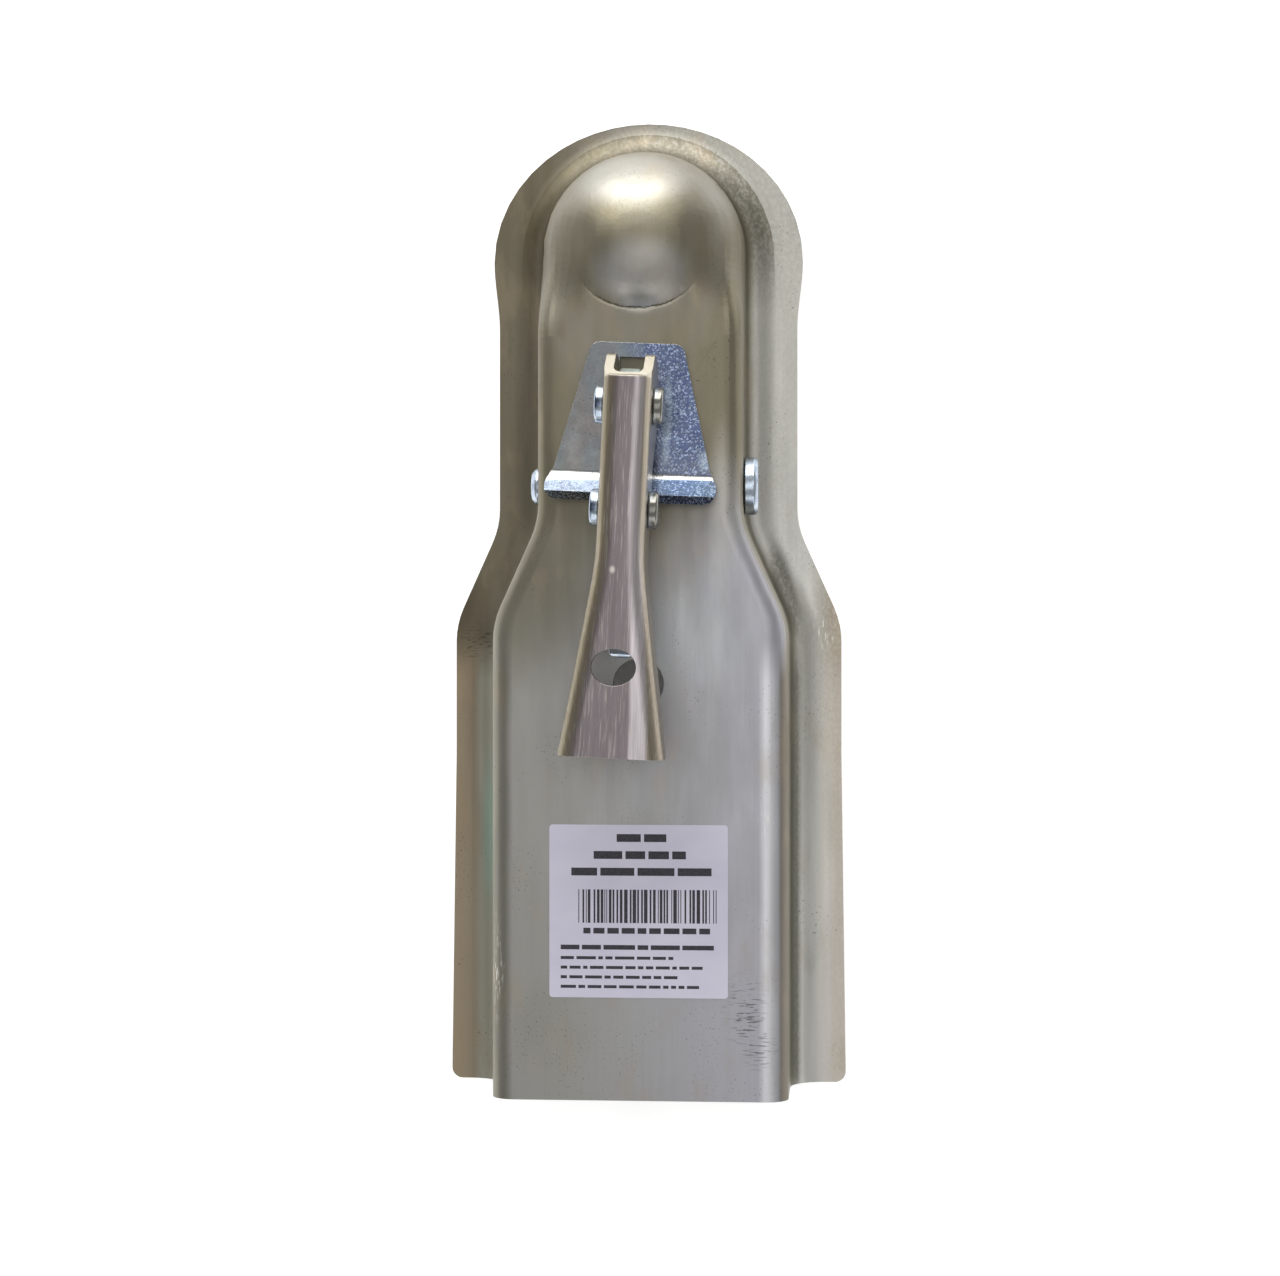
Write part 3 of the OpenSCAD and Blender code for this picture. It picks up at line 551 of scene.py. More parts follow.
def bright_plate_zinc(looks):
    """Cold-rolled steel plate with bright blue-white zinc, blanked and bent.

    Glossy, with a spangle of crystals under half a millimetre across, a beige and rose film on the left, deeper blue
    on the right, and a torn, dull band where the edges were sheared.
    """
    mat, tree, coords, shader = new_material("bright_plate_zinc")
    x, y, _ = add(tree, "ShaderNodeSeparateXYZ", {"Vector": coords}).outputs
    across = add(tree, "ShaderNodeMapRange", {"Value": x, "From Min": -0.022, "From Max": 0.022}).outputs[0]
    wander = stretched_noise(tree, coords, (12, 14, 12), -0.14, 0.14, 3.0)
    across = add(tree, "ShaderNodeMath", {0: across, 1: wander}, operation="ADD", use_clamp=True).outputs[0]
    ramp = add(tree, "ShaderNodeValToRGB", {"Fac": across})
    stops = ramp.color_ramp.elements
    stops[0].color, stops[1].color = rgba("656863"), rgba("3C445C")
    for place, code in ((0.14, "6C635A"), (0.3, "666C6C"), (0.58, "4D566E"), (0.8, "363F5E")):
        stops.new(place).color = rgba(code)
    colour = coat(tree, ramp.outputs["Color"], (*looks.plate_colour, 1), 0.15)
    # Spangle: crystals 0.4 mm across, each with its own tone, strongest on the right
    cells = add(tree, "ShaderNodeTexVoronoi", {"Vector": coords, "Scale": 1 / (0.4 * MM)})
    tone = add(tree, "ShaderNodeSeparateXYZ", {"Vector": cells.outputs["Color"]}).outputs["X"]
    # The lip has it all along, over a pale film that is bright on the left and teal next to the lever on the right
    on_lip = above(tree, facing(tree, LIP_UP), 0.9, 0.06)
    lip_film = coat(tree, "A6B2C0", "586A78", above(tree, across, 0.5, 0.2))
    colour = coat(tree, colour, lip_film, on_lip, 0.8)
    spangled = {0: above(tree, across, 0.5, 0.12), 1: on_lip}
    strong = add(tree, "ShaderNodeMath", spangled, operation="MAXIMUM").outputs[0]
    strong = add(tree, "ShaderNodeMapRange", {"Value": strong, "To Min": 0.06}).outputs[0]
    colour = coat(tree, colour, "B9C9E6", above(tree, tone, 0.82, 0.16), strong, 0.6)
    # Pale film beside the lever and at the bend's right end
    for centre, reach in (((8.3, -50, 24), (1.7, 17, 4)), ((19, -61.5, 24), (3.0, 4.0, 4))):
        colour = coat(tree, colour, "A9B8C6", patch(tree, coords, centre, reach, 0.3, -0.047), 0.6)
    colour = coat(tree, colour, "3F4F86", above(tree, tone, 0.3, -0.25), strong, 0.5)
    speck = stretched_noise(tree, coords, (0.5, 0.5, 0.5), detail=1.0, at=(4, 4, 4))
    colour = coat(tree, colour, "3B3F45", above(tree, speck, 0.97, 0.03), 0.8)
    upward = facing(tree, UP)
    bend = product(tree, between(tree, upward, 0.8, 0.985, 0.02), above(tree, y, -0.06, -0.002))
    colour = coat(tree, colour, "A9A699", bend, 0.7)
    # Painted highlight along the broken edges, fine and uneven
    sloped = product(tree, above(tree, upward, 0.975, -0.01), above(tree, upward, 0.25, 0.05))
    uneven = stretched_noise(tree, coords, (0.7, 0.7, 0.7), 0.6, 1.0, 2.0, at=(5, 1, 0))
    painted_light_rim = product(tree, sloped, above(tree, y, -0.0665, 0.0005), uneven)
    # The flat plate faces between the lip's two sides as well, so this mask ends where the lip begins
    lip_edge_highlight = product(
        tree,
        between(tree, facing(tree, LIP_UP), 0.3, 0.93, 0.03),
        between(tree, facing(tree, LIP_END), 0.3, 0.93, 0.03),
        above(tree, y, -0.0668, -0.0005),
    )
    painted_light_rim = add(tree, "ShaderNodeMath", {0: painted_light_rim, 1: lip_edge_highlight}, operation="MAXIMUM").outputs[0]
    colour = coat(tree, colour, "F2F3F2", painted_light_rim)
    # Sheared band on the lip's end
    torn = above(tree, facing(tree, LIP_END), 0.9, 0.04)
    grit = stretched_noise(tree, coords, (0.35, 0.5, 0.9), at=(7, 0, 0))
    colour = coat(tree, colour, "1E2023", torn, above(tree, grit, 0.42, 0.16), 0.9)
    rough = plated(tree, shader, colour, 0.2, 0.36, stretched_noise(tree, coords, (4, 6, 4)))
    rough = add(tree, "ShaderNodeMix", {0: torn, 2: rough, 3: 0.6}).outputs[0]
    tree.links.new(rough, shader.inputs["Roughness"])
    facets = bumps(tree, shader, product(tree, tone, strong), 0.3, 0.02)
    ripple = bumps(tree, shader, stretched_noise(tree, coords, (5, 7, 5), detail=2.0), 0.3, 0.08, facets)
    bumps(tree, shader, product(tree, grit, torn), 0.8, 0.15, ripple)
    return mat


def brushed_lever_zinc(looks):
    """Folded steel lever, ground lengthwise and zinc plated with a warm film.

    Satin, with its reflections painted on: khaki on the left shoulder, a browner line beside it, mauve-grey on top and
    a painted highlight right of the middle, with fine lengthwise brushing and pale cut edges at both ends.
    """
    mat, tree, coords, shader = new_material("brushed_lever_zinc")
    along = along_latch(tree, coords)
    colour = (*looks.lever_colour, 1)
    up = facing(tree, UP)
    left = above(tree, facing(tree, -LATCH_SIDE), 0.35, 0.25)
    right = above(tree, facing(tree, LATCH_SIDE), 0.35, 0.25)
    cloud = stretched_noise(tree, along, (8, 40, 8))
    x, y, _ = add(tree, "ShaderNodeSeparateXYZ", {"Vector": along}).outputs
    # The top is slightly crowned, and its reflections are painted: its left is mauve, a painted highlight line runs
    # right of the middle, and khaki lies beyond
    top = above(tree, up, 0.9, 0.08)
    flare = {"Value": y, "From Min": -0.086, "From Max": -0.03}
    crown = add(tree, "ShaderNodeMapRange", {**flare, "To Min": 0.0076, "To Max": 0.0036}).outputs[0]
    beside = add(tree, "ShaderNodeMath", {0: x, 1: crown}, operation="SUBTRACT").outputs[0]
    colour = coat(tree, colour, "7D757B", top, 0.8)
    colour = coat(tree, colour, "8F8672", top, above(tree, beside, 0.0013, 0.0006), 0.8)
    off = add(tree, "ShaderNodeMath", {0: beside}, operation="ABSOLUTE").outputs[0]
    spread = add(tree, "ShaderNodeMapRange", {**flare, "To Min": 0.0024, "To Max": 0.0013}).outputs[0]
    off = add(tree, "ShaderNodeMath", {0: off, 1: spread}, operation="SUBTRACT").outputs[0]
    crest_highlight = product(tree, above(tree, off, 0.0, -0.0005), above(tree, up, 0.55, 0.2))
    # Painted reflections on the sides: darker khaki on the left, lighter on the right
    colour = coat(tree, colour, "8C8269", left, 0.8)
    colour = coat(tree, colour, "A59B88", right, 0.7)
    cloud = add(tree, "ShaderNodeMapRange", {"Value": cloud, "To Min": 0.7}).outputs[0]
    colour = coat(tree, colour, "C6BFC3", crest_highlight, cloud)
    # Brushing: lines 0.3 mm apart, a little coarser than grit 120 leaves, so that they show
    brush = stretched_noise(tree, along, (0.28, 18, 0.28))
    colour = coat(tree, colour, "6E655F", above(tree, brush, 0.62, 0.35), 0.35)
    pale = stretched_noise(tree, along, (0.35, 9, 0.35), detail=2.0, at=(6, 2, 0))
    colour = coat(tree, colour, "CFC9C1", above(tree, pale, 0.8, 0.15), 0.3)
    nick = patch(tree, coords, (-4.5, -92.5, 55), (1.1, 1.5, 4), 0.2)
    colour = coat(tree, colour, "D8D3CB", nick, 0.8)
    # Pale cut edges of the sheet at both ends
    ends = add(tree, "ShaderNodeMath", {0: facing(tree, LATCH_LONG)}, operation="ABSOLUTE").outputs[0]
    colour = coat(tree, colour, "E2DBC9", above(tree, ends, 0.95, 0.03), 0.85)
    # Painted highlight on the upward faces of the lever's nose
    nose = product(tree, above(tree, y, 0.0068, 0.0003), above(tree, up, 0.3, 0.1))
    colour = coat(tree, colour, "CFC8B7", nose, 0.85)
    plated(tree, shader, colour, 0.3, 0.42, stretched_noise(tree, along, (1.5, 30, 1.5)))
    shader.inputs["Anisotropic"].default_value = 0.3
    bumps(tree, shader, brush, 0.35, 0.02)
    return mat


def bright_rivet_zinc():
    """Headed steel pins and rivets in bright zinc: smooth, blue-white, with a faint haze and fine turning marks."""
    mat, tree, coords, shader = new_material("bright_rivet_zinc")
    cloud = stretched_noise(tree, coords, (2.5, 2.5, 2.5))
    colour = coat(tree, "C6D0DA", "A3B1C4", cloud)
    dull = stretched_noise(tree, coords, (1.0, 1.4, 1.0), at=(2, 6, 1))
    colour = coat(tree, colour, "7D837F", above(tree, dull, 0.8, 0.12), 0.5)
    # Beside the lever: a painted dark blue reflection round the left heads' rims, and a khaki tone on the right ones
    off_face = above(tree, facing(tree, -LATCH_SIDE), 0.7, -0.1)
    along = along_latch(tree, coords)
    for v in (0, -28.3):
        waist_reflection = product(tree, patch(tree, along, (-10, v, 42), (4, 2.4, 14), 0.6), off_face)
        colour = coat(tree, colour, "2E3850", waist_reflection, 0.9)
        colour = coat(tree, colour, "77705F", patch(tree, along, (10, v, 42), (4, 7, 14), 0.75), 0.8)
    plated(tree, shader, colour, 0.2, 0.34, cloud)
    bumps(tree, shader, dull, 0.15, 0.03)
    return mat


def pale_bolt_zinc():
    """Turned and rolled steel bolt and washers in pale zinc: grey with a cool cast, duller in its hollows."""
    mat, tree, coords, shader = new_material("pale_bolt_zinc")
    cloud = stretched_noise(tree, coords, (4, 4, 4))
    colour = coat(tree, "B4BABA", "9AA09C", cloud)
    stain = stretched_noise(tree, coords, (1.3, 1.3, 2.2), at=(3, 3, 3))
    colour = coat(tree, colour, "6C6A5E", above(tree, stain, 0.78, 0.15), 0.5)
    # Painted highlight on the eye's top front
    colour = coat(tree, colour, "E6F4F0", patch(tree, coords, (-0.9, -40, 46), (6, 6, 7), 0.5), 0.9)
    plated(tree, shader, colour, 0.28, 0.44, cloud)
    bumps(tree, shader, stain, 0.2, 0.03)
    return mat


def oiled_spring_steel():
    """Hard-drawn spring wire, oiled: dark grey, with fine lines along the wire and a few brown spots."""
    mat, tree, coords, shader = new_material("oiled_spring_steel")
    lines = stretched_noise(tree, coords, (0.4, 0.4, 2.5))
    colour = coat(tree, "6F7070", "8C8D8B", lines)
    spots = stretched_noise(tree, coords, (1.2, 1.2, 1.2), detail=2.0, at=(8, 1, 1))
    colour = coat(tree, colour, "6A4E36", above(tree, spots, 0.85, 0.1), 0.5)
    plated(tree, shader, colour, 0.26, 0.4, spots)
    bumps(tree, shader, lines, 0.25, 0.02)
    return mat


def satin_clamp_zinc():
    """Pressed and folded steel clamp in satin zinc: olive-grey, with polished marks where the ball has rubbed."""
    mat, tree, coords, shader = new_material("satin_clamp_zinc")
    cloud = stretched_noise(tree, coords, (9, 14, 9))
    colour = coat(tree, "A5A090", "BAB8B0", cloud)
    rubbed = stretched_noise(tree, coords, (3.5, 1.1, 1.1), at=(2, 5, 2))
    colour = coat(tree, colour, "5B5850", above(tree, rubbed, 0.76, 0.15), 0.4)
    plated(tree, shader, colour, 0.34, 0.5, cloud)
    bumps(tree, shader, rubbed, 0.2, 0.04)
    return mat


def moulded_nylon():
    """Moulded nylon ring of the lock nut: pale, waxy, with a slight mottle."""
    mat, tree, coords, shader = new_material("moulded_nylon")
    cloud = stretched_noise(tree, coords, (1.5, 1.5, 1.5))
    tree.links.new(coat(tree, "E2E2D8", "CFCFC2", cloud), shader.inputs["Base Color"])
    shader.inputs["Roughness"].default_value = 0.45
    shader.inputs["IOR"].default_value = 1.53
    bumps(tree, shader, cloud, 0.15, 0.05)
    return mat


def sticker_paper(looks):
    """Coated paper sticker: pale lilac-white, matt, with faint fibres and a soft mottle from handling."""
    mat, tree, coords, shader = new_material("sticker_paper")
    fibres = stretched_noise(tree, coords, (0.5, 1.2, 0.5), detail=4.0)
    cloud = stretched_noise(tree, coords, (18, 12, 18), detail=2.0)
    colour = coat(tree, (*looks.paper_colour, 1), "BDB8CB", fibres, 0.3)
    colour = coat(tree, colour, "D4D1DE", cloud, 0.4)
    tree.links.new(colour, shader.inputs["Base Color"])
    shader.inputs["Roughness"].default_value = 0.62
    shader.inputs["IOR"].default_value = 1.46
    bumps(tree, shader, fibres, 0.12, 0.02)
    return mat


def label_ink():
    """Thermal-printed ink: near black and matt, a little uneven where the head ran cool."""
    mat, tree, coords, shader = new_material("label_ink")
    uneven = stretched_noise(tree, coords, (0.5, 0.5, 0.5))
    tree.links.new(coat(tree, "1E1C22", "3A3740", uneven), shader.inputs["Base Color"])
    shader.inputs["Roughness"].default_value = 0.6
    shader.inputs["IOR"].default_value = 1.46
    return mat


# Pieces


def eased(value):
    """A smooth step from 0 to 1."""
    u = min(1.0, max(0.0, value))
    return u * u * (3 - 2 * u)


def softened_heights(bm, half_width, back, front, step, reach):
    """The height of the upper skin on a grid, softened over a reach, as a function of x and y."""
    tree = BVHTree.FromBMesh(bm)
    nx = round(half_width / step)
    ny = round((front - back) / step)

    def height(i, j):
        # The small offset keeps the ray off the mesh's own edges. Over the bolt's slot it takes the web's height
        start = Vector((i * step + 0.013 * MM, back + j * step + 0.01 * MM, 0.2))
        hit = tree.ray_cast(start, Vector((0, 0, -1)))[0]
        return hit.z if hit is not None else WEB_TOP

    grid = [[height(i, j) for j in range(ny + 1)] for i in range(-nx, nx + 1)]
    wide = round(2.5 * reach / step)
    weights = [math.exp(-((k * step / reach) ** 2) / 2) for k in range(-wide, wide + 1)]
    total = sum(weights)

    def soften(rows):
        last = len(rows[0]) - 1
        return [
            [
                sum(w * row[min(last, max(0, j + k - wide))] for k, w in enumerate(weights)) / total
                for j in range(last + 1)
            ]
            for row in rows
        ]

    grid = soften(grid)
    grid = list(zip(*soften(list(zip(*grid)))))

    def at(x, y):
        u = min(2 * nx - 1e-6, max(0.0, x / step + nx))
        v = min(ny - 1e-6, max(0.0, (y - back) / step))
        i, j = int(u), int(v)
        u, v = u - i, v - j
        low = grid[i][j] * (1 - v) + grid[i][j + 1] * v
        high = grid[i + 1][j] * (1 - v) + grid[i + 1][j + 1] * v
        return low * (1 - u) + high * u

    return at


def draw_dome_into_neck(bm):
    """Sculpts the sides of the dome: the press draws them in one sweep into the neck, with no flat beside the dome.

    The outer skin is cut into a fine grid there, and each point moves to the softened height. In the middle the
    crease behind the dome stays, and is bent a little forward.
    """
    soft = softened_heights(bm, half_width=27 * MM, back=-41 * MM, front=14 * MM, step=1 * MM, reach=4.2 * MM)
    spacing = 1.5 * MM

    def here(face):
        c = face.calc_center_median()
        return face.normal.z > 0.02 and c.z > 6 * MM and abs(c.x) < 29.2 * MM and -35.5 * MM < c.y < 20 * MM

    def cut(direction, place):
        faces = [f for f in bm.faces if here(f)]
        verts = dict.fromkeys(v for f in faces for v in f.verts)
        edges = dict.fromkeys(e for f in faces for e in f.edges)
        bmesh.ops.bisect_plane(bm, geom=[*verts, *edges, *faces], dist=1e-6, plane_co=place, plane_no=direction)

    for i in range(-19, 20):
        cut((1, 0, 0), (i * spacing, 0, 0))
    for i in range(-13, 25):
        cut((0, 1, 0), (0, -i * spacing, 0))
    for v in dict.fromkeys(v for f in bm.faces if here(f) for v in f.verts):
        # The cuts lie on the flat facets of the ball, so its front half is rounded again
        if v.co.y > -1 * MM and abs(v.co.length - DOME) < 0.4 * MM:
            v.co = v.co.normalized() * DOME
        x, y, z = v.co
        away = math.hypot(x, y) - CREASE
        if away < -0.05 * MM and z > 20 * MM:
            z = math.sqrt(DOME**2 - x * x - y * y)
        side = eased((abs(x) - 11 * MM) / (6 * MM)) * (1 - eased((abs(x) - 23.5 * MM) / (4 * MM)))
        span = eased((y + 35 * MM) / (10 * MM)) * (1 - eased((y + 1 * MM) / (11 * MM)))
        v.co.z = z + (soft(x, y) - z) * side * span
        if y < 0 and z > 20 * MM and abs(x) < CREASE_HALF:
            v.co.y += CREASE_BOW * (1 - (x / CREASE_HALF) ** 2) * math.exp(-((away / (4.5 * MM)) ** 2))


class COUPLING_OT_body(bpy.types.Operator):
    """Dresses the pressed body in passivated zinc"""

    bl_idname = "coupling.body"
    bl_label = "Pressed body"

    def execute(self, context):
        looks = context.scene.coupling_body
        bm = cad_copy("coupler_body", 0)
        draw_dome_into_neck(bm)
        smooth_by_angle(bm, 30)
        obj = as_object(
            "coupler_body_shape", bm, passivated_body_zinc(looks), "coupler", ("coupler_body",)
        )
        break_edges(obj, looks.edge, 38, 3)
        return {"FINISHED"}


class COUPLING_OT_latch_plate(bpy.types.Operator):
    """Dresses the latch plate in bright spangled zinc"""

    bl_idname = "coupling.latch_plate"
    bl_label = "Latch plate"

    def execute(self, context):
        looks = context.scene.coupling_latch
        dress("latch_plate", bright_plate_zinc(looks), looks.plate_edge, 35)
        return {"FINISHED"}


class COUPLING_OT_lever(bpy.types.Operator):
    """Dresses the lever and its trigger"""

    bl_idname = "coupling.lever"
    bl_label = "Lever and trigger"

    def execute(self, context):
        looks = context.scene.coupling_latch
        dress("lever", brushed_lever_zinc(looks), 0.4 * MM, 38)
        dress("trigger", bright_rivet_zinc(), 0.3 * MM, 35)
        return {"FINISHED"}


class COUPLING_OT_rivets(bpy.types.Operator):
    """Dresses the rivets and the clamp's pin, with the small round of their heads"""

    bl_idname = "coupling.rivets"
    bl_label = "Rivets and pin"

    def execute(self, context):
        mat = bright_rivet_zinc()
        dress("lever_pivot_rivet", mat, 0.6 * MM, segments=3, sharp=70)
        dress("trigger_rivet", mat, 0.6 * MM, segments=3, sharp=70)
        dress("clamp_pin", mat, 0.5 * MM, segments=3, sharp=70)
        return {"FINISHED"}


class COUPLING_OT_draw_bolt(bpy.types.Operator):
    """Dresses the draw bolt, rolls its thread and dresses the nut and washers"""

    bl_idname = "coupling.draw_bolt"
    bl_label = "Draw bolt, nut and washers"

    def execute(self, context):
        looks = context.scene.coupling_latch
        mat = pale_bolt_zinc()
        dress("draw_bolt", mat, 0.3 * MM)
        dress("adjusting_nut", mat, 0.45 * MM)
        dress("nut_insert", moulded_nylon(), 0.3 * MM)
        for node in ("rocker_washer", "spring_top_washer", "spring_seat"):
            dress(node, mat, 0.25 * MM)
        # The thread: a low ridge of three-sided section, spun up the shank by its pitch
        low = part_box("draw_bolt")[0].z + 0.9 * MM
        high = 8 * MM
        pitch = looks.thread_pitch
        turns = (high - low - pitch) / pitch
        bm = bmesh.new()
        section = [
            bm.verts.new((3.9 * MM, 0, low)),
            bm.verts.new((4.2 * MM, 0, low + pitch * 0.42)),
            bm.verts.new((4.2 * MM, 0, low + pitch * 0.54)),
            bm.verts.new((3.9 * MM, 0, low + pitch * 0.96)),
        ]
        face = bm.faces.new(section)
        steps = int(turns * 28)
        bmesh.ops.spin(
            bm,
            geom=[face, *face.edges, *face.verts],
            cent=(0, 0, 0),
            axis=(0, 0, 1),
            dvec=(0, 0, turns * pitch / steps),
            angle=turns * math.tau,
            steps=steps,
            use_duplicate=False,
        )
        bmesh.ops.recalc_face_normals(bm, faces=bm.faces)
        bmesh.ops.transform(bm, matrix=LATCH, verts=bm.verts)
        smooth_by_angle(bm, 25)
        as_object("draw_bolt_thread", bm, mat, "draw_bolt")
        return {"FINISHED"}


class COUPLING_OT_springs(bpy.types.Operator):
    """Dresses the two springs in oiled spring steel"""

    bl_idname = "coupling.springs"
    bl_label = "Springs"

    def execute(self, context):
        mat = oiled_spring_steel()
        for node in ("clamp_spring", "trigger_spring"):
            dress(node, mat, 0)
        return {"FINISHED"}


class COUPLING_OT_clamp(bpy.types.Operator):
    """Dresses the ball clamp"""

    bl_idname = "coupling.clamp"
    bl_label = "Ball clamp"

    def execute(self, context):
        dress("ball_clamp", satin_clamp_zinc(), 0.5 * MM, 38)
        return {"FINISHED"}


class COUPLING_OT_label(bpy.types.Operator):
    """Makes the sticker: paper with rounded corners, and a print of plain bars and fields"""

    bl_idname = "coupling.label"
    bl_label = "Sticker"

    def execute(self, context):
        looks = context.scene.coupling_label
        low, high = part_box("label")
        bm = bmesh.new()
        made = bmesh.ops.create_cube(bm, size=1)
        size = high - low
        bmesh.ops.scale(bm, vec=size, verts=made["verts"])
        bmesh.ops.translate(bm, vec=(low + high) / 2, verts=made["verts"])
        upright = [e for e in bm.edges if abs(e.verts[0].co.z - e.verts[1].co.z) > size.z / 2]
        if looks.corner > 0:
            bmesh.ops.bevel(
                bm,
                geom=upright,
                offset=looks.corner,
                offset_type="OFFSET",
                affect="EDGES",
                segments=6,
                profile=0.5,
                material=-1,
            )
        bmesh.ops.recalc_face_normals(bm, faces=bm.faces)
        smooth_by_angle(bm, 30)
        as_object("label_sheet", bm, sticker_paper(looks), "coupler", ("label",))

        # Print: rows of dashes stand for lines of words, and a block of bars stands between them. None can be read
        rng = random.Random(11)
        left, top, face_z = low.x, high.y, high.z + 0.01 * MM
        bm = bmesh.new()

        def bar(x, y, w, h):
            """A bar with its top left corner at x, y, in mm from the sticker's own."""
            part = bmesh.ops.create_grid(bm, x_segments=1, y_segments=1, size=0.5)
            bmesh.ops.scale(bm, vec=(w * MM, h * MM, 1), verts=part["verts"])
            bmesh.ops.translate(bm, vec=(left + (x + w / 2) * MM, top - (y + h / 2) * MM, face_z), verts=part["verts"])

        def dashes(x, y, w, h, shortest, longest, gap):
            at = x
            while at < x + w - shortest:
                run = min(rng.uniform(shortest, longest), x + w - at)
                bar(at, y, run, h)
                at += run + gap

        dashes(19.0, 2.6, 14.0, 2.2, 5.0, 9.0, 0.9)
        dashes(12.5, 7.4, 26.0, 2.2, 3.0, 8.5, 0.9)
        dashes(6.2, 12.1, 39.5, 2.2, 6.0, 13.0, 0.9)
        at = 8.2
        while at < 47.0:
            wide = rng.choice((0.25, 0.25, 0.5, 0.5, 0.75, 1.0))
            bar(at, 18.2, wide, 9.4)
            at += wide + rng.choice((0.3, 0.45, 0.6, 0.9))
        dashes(9.6, 29.0, 37.0, 1.6, 2.0, 4.5, 0.8)
        dashes(3.2, 33.8, 44.5, 1.3, 3.0, 9.0, 0.7)
        for row in range(4):
            dashes(3.2, 37.0 + row * 2.7, 33.0 + 7.0 * (row % 2), 0.85, 1.2, 5.5, 0.7)
        as_object("label_print", bm, label_ink(), "coupler")
        return {"FINISHED"}


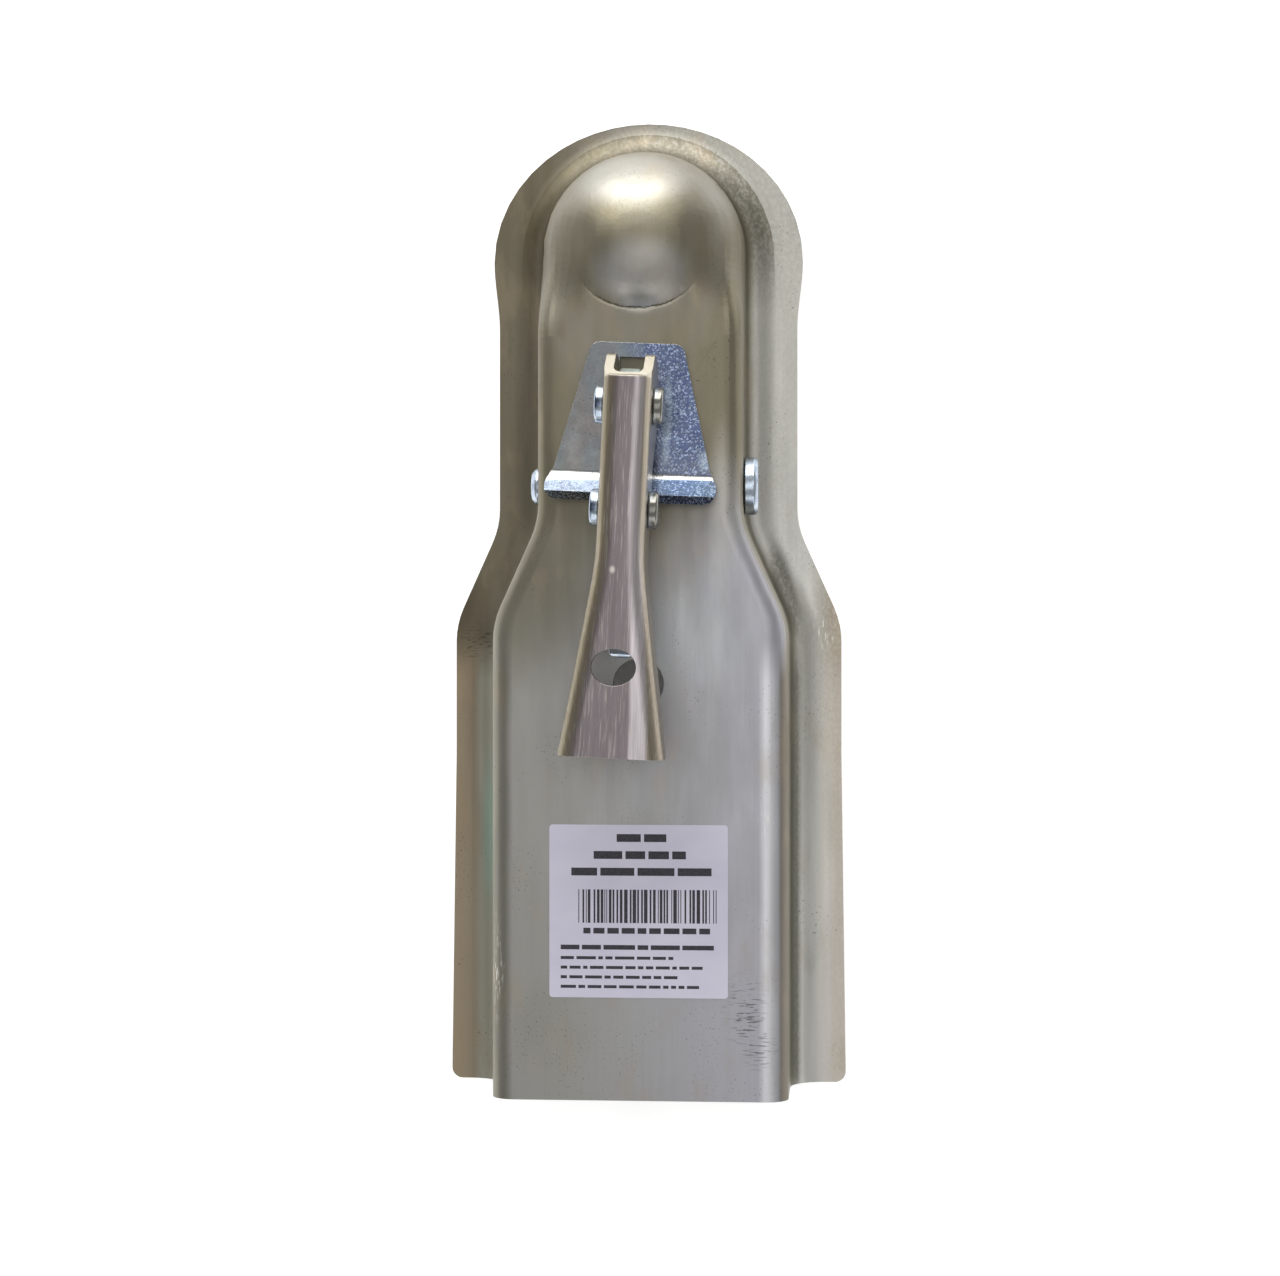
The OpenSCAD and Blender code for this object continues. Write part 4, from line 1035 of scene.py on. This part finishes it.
class COUPLING_OT_stage(bpy.types.Operator):
    """Builds the pale floor, the soft studio light and the camera above the part"""

    bl_idname = "coupling.stage"
    bl_label = "Studio"

    def execute(self, context):
        looks = context.scene.coupling_stage
        scene = context.scene
        ground = CAD_BOX[0][2]

        mat = bpy.data.materials.new("white_backdrop_paper")
        mat.use_nodes = True
        tree = mat.node_tree
        tree.nodes.clear()
        # Matt white paper. To the camera and in gloss it shows brighter, so that lit paper is white and shadow stays
        paper = add(tree, "ShaderNodeBsdfDiffuse", {"Color": rgba("E6E6E6")})
        # The lift fades where the part stands over the paper, so that the paper seen through its holes stays dark
        open_air = add(tree, "ShaderNodeAmbientOcclusion", {"Distance": 0.06}, samples=8)
        lift_level = product(tree, above(tree, open_air.outputs["AO"], 0.42, 0.2), 0.62)
        lift = add(tree, "ShaderNodeEmission", {"Strength": lift_level, "Color": rgba("FFFFFF")})
        rays = add(tree, "ShaderNodeLightPath")
        seen = rays.outputs["Is Camera Ray"]
        for ray in ("Is Glossy Ray", "Is Transmission Ray"):
            seen = add(tree, "ShaderNodeMath", {0: seen, 1: rays.outputs[ray]}, operation="MAXIMUM").outputs[0]
        both = add(tree, "ShaderNodeAddShader", {0: paper.outputs[0], 1: lift.outputs[0]})
        mixed = add(tree, "ShaderNodeMixShader", {0: seen, 1: paper.outputs[0], 2: both.outputs[0]})
        add(tree, "ShaderNodeOutputMaterial", {"Surface": mixed.outputs[0]})

        bm = bmesh.new()
        made = bmesh.ops.create_grid(bm, x_segments=1, y_segments=1, size=1.6)
        bmesh.ops.translate(bm, vec=(0, -0.11, ground), verts=made["verts"])
        mesh = bpy.data.meshes.new("floor")
        bm.to_mesh(mesh)
        bm.free()
        mesh.materials.append(mat)
        floor = bpy.data.objects.new("floor", mesh)
        scene.collection.objects.link(floor)

        world = bpy.data.worlds.new("studio")
        scene.world = world
        world.use_nodes = True
        tree = world.node_tree
        tree.nodes.clear()
        back = add(tree, "ShaderNodeBackground", {"Color": rgba("F4F4F2"), "Strength": looks.room_light})
        add(tree, "ShaderNodeOutputWorld", {"Surface": back.outputs[0]})

        middle = Vector((0.0, -0.11, 0.0))

        def softbox(name, place, width, height, power, colour):
            lamp = bpy.data.lights.new(name, "AREA")
            lamp.shape = "RECTANGLE"
            lamp.size = width
            lamp.size_y = height
            lamp.energy = power
            lamp.color = linear(colour)
            obj = bpy.data.objects.new(name, lamp)
            obj.location = Vector(place)
            obj.rotation_euler = (middle - obj.location).to_track_quat("-Z", "Y").to_euler()
            scene.collection.objects.link(obj)

        softbox("long_overhead", (0.2, 0.0, 1.35), 0.6, 1.1, 2.4, "FFFFFF")
        softbox("wide_key_at_nose", (-0.12, 0.85, 0.44), 1.3, 0.85, 16.5, "FFFFFF")
        softbox("fill_behind", (0.0, -1.1, 0.5), 1.2, 0.8, 4.0, "FFFFFF")

        # The photo was taken from above, a little from the right
        tilt = math.radians(4.3)
        distance = 0.765
        target = Vector((0.00042, -0.1109, WEB_TOP))
        cam = bpy.data.cameras.new("photo_camera")
        cam.sensor_width = 36
        cam.sensor_fit = "HORIZONTAL"
        cam.lens = 76.58
        cam.clip_start = 0.01
        cam.clip_end = 20
        camera = bpy.data.objects.new("photo_camera", cam)
        camera.location = target + distance * Vector((math.sin(tilt), 0, math.cos(tilt)))
        camera.rotation_euler = (0, tilt, 0)
        scene.collection.objects.link(camera)
        scene.camera = camera
        scene.view_settings.view_transform = "Standard"
        return {"FINISHED"}


class COUPLING_PT_panel(bpy.types.Panel):
    """Sizes, colours and steps of the coupling head's looks"""

    bl_idname = "COUPLING_PT_panel"
    bl_label = "Coupling head"
    bl_space_type = "VIEW_3D"
    bl_region_type = "UI"
    bl_category = "Coupling"

    def draw(self, context):
        scene = context.scene
        for title, group in (
            ("Body", scene.coupling_body),
            ("Latch", scene.coupling_latch),
            ("Sticker", scene.coupling_label),
            ("Studio", scene.coupling_stage),
        ):
            box = self.layout.box()
            box.label(text=title)
            for name in group.__class__.__annotations__:
                box.prop(group, name)
        for step in STEPS:
            self.layout.operator(step.bl_idname)


STEPS = (
    COUPLING_OT_stage,
    COUPLING_OT_body,
    COUPLING_OT_latch_plate,
    COUPLING_OT_lever,
    COUPLING_OT_rivets,
    COUPLING_OT_draw_bolt,
    COUPLING_OT_springs,
    COUPLING_OT_clamp,
    COUPLING_OT_label,
)
GROUPS = {
    "coupling_body": CouplingBodyLooks,
    "coupling_latch": CouplingLatchLooks,
    "coupling_label": CouplingLabelLooks,
    "coupling_stage": CouplingStageLooks,
}


def register():
    for cls in (*GROUPS.values(), *STEPS, COUPLING_PT_panel):
        bpy.utils.register_class(cls)
    for name, cls in GROUPS.items():
        setattr(bpy.types.Scene, name, PointerProperty(type=cls))


def unregister():
    for name in GROUPS:
        delattr(bpy.types.Scene, name)
    for cls in reversed((*GROUPS.values(), *STEPS, COUPLING_PT_panel)):
        bpy.utils.unregister_class(cls)


def main():
    register()
    bpy.ops.coupling.stage()
    bpy.ops.coupling.body()
    bpy.ops.coupling.latch_plate()
    bpy.ops.coupling.lever()
    bpy.ops.coupling.rivets()
    bpy.ops.coupling.draw_bolt()
    bpy.ops.coupling.springs()
    bpy.ops.coupling.clamp()
    bpy.ops.coupling.label()


if __name__ == "__main__":
    main()
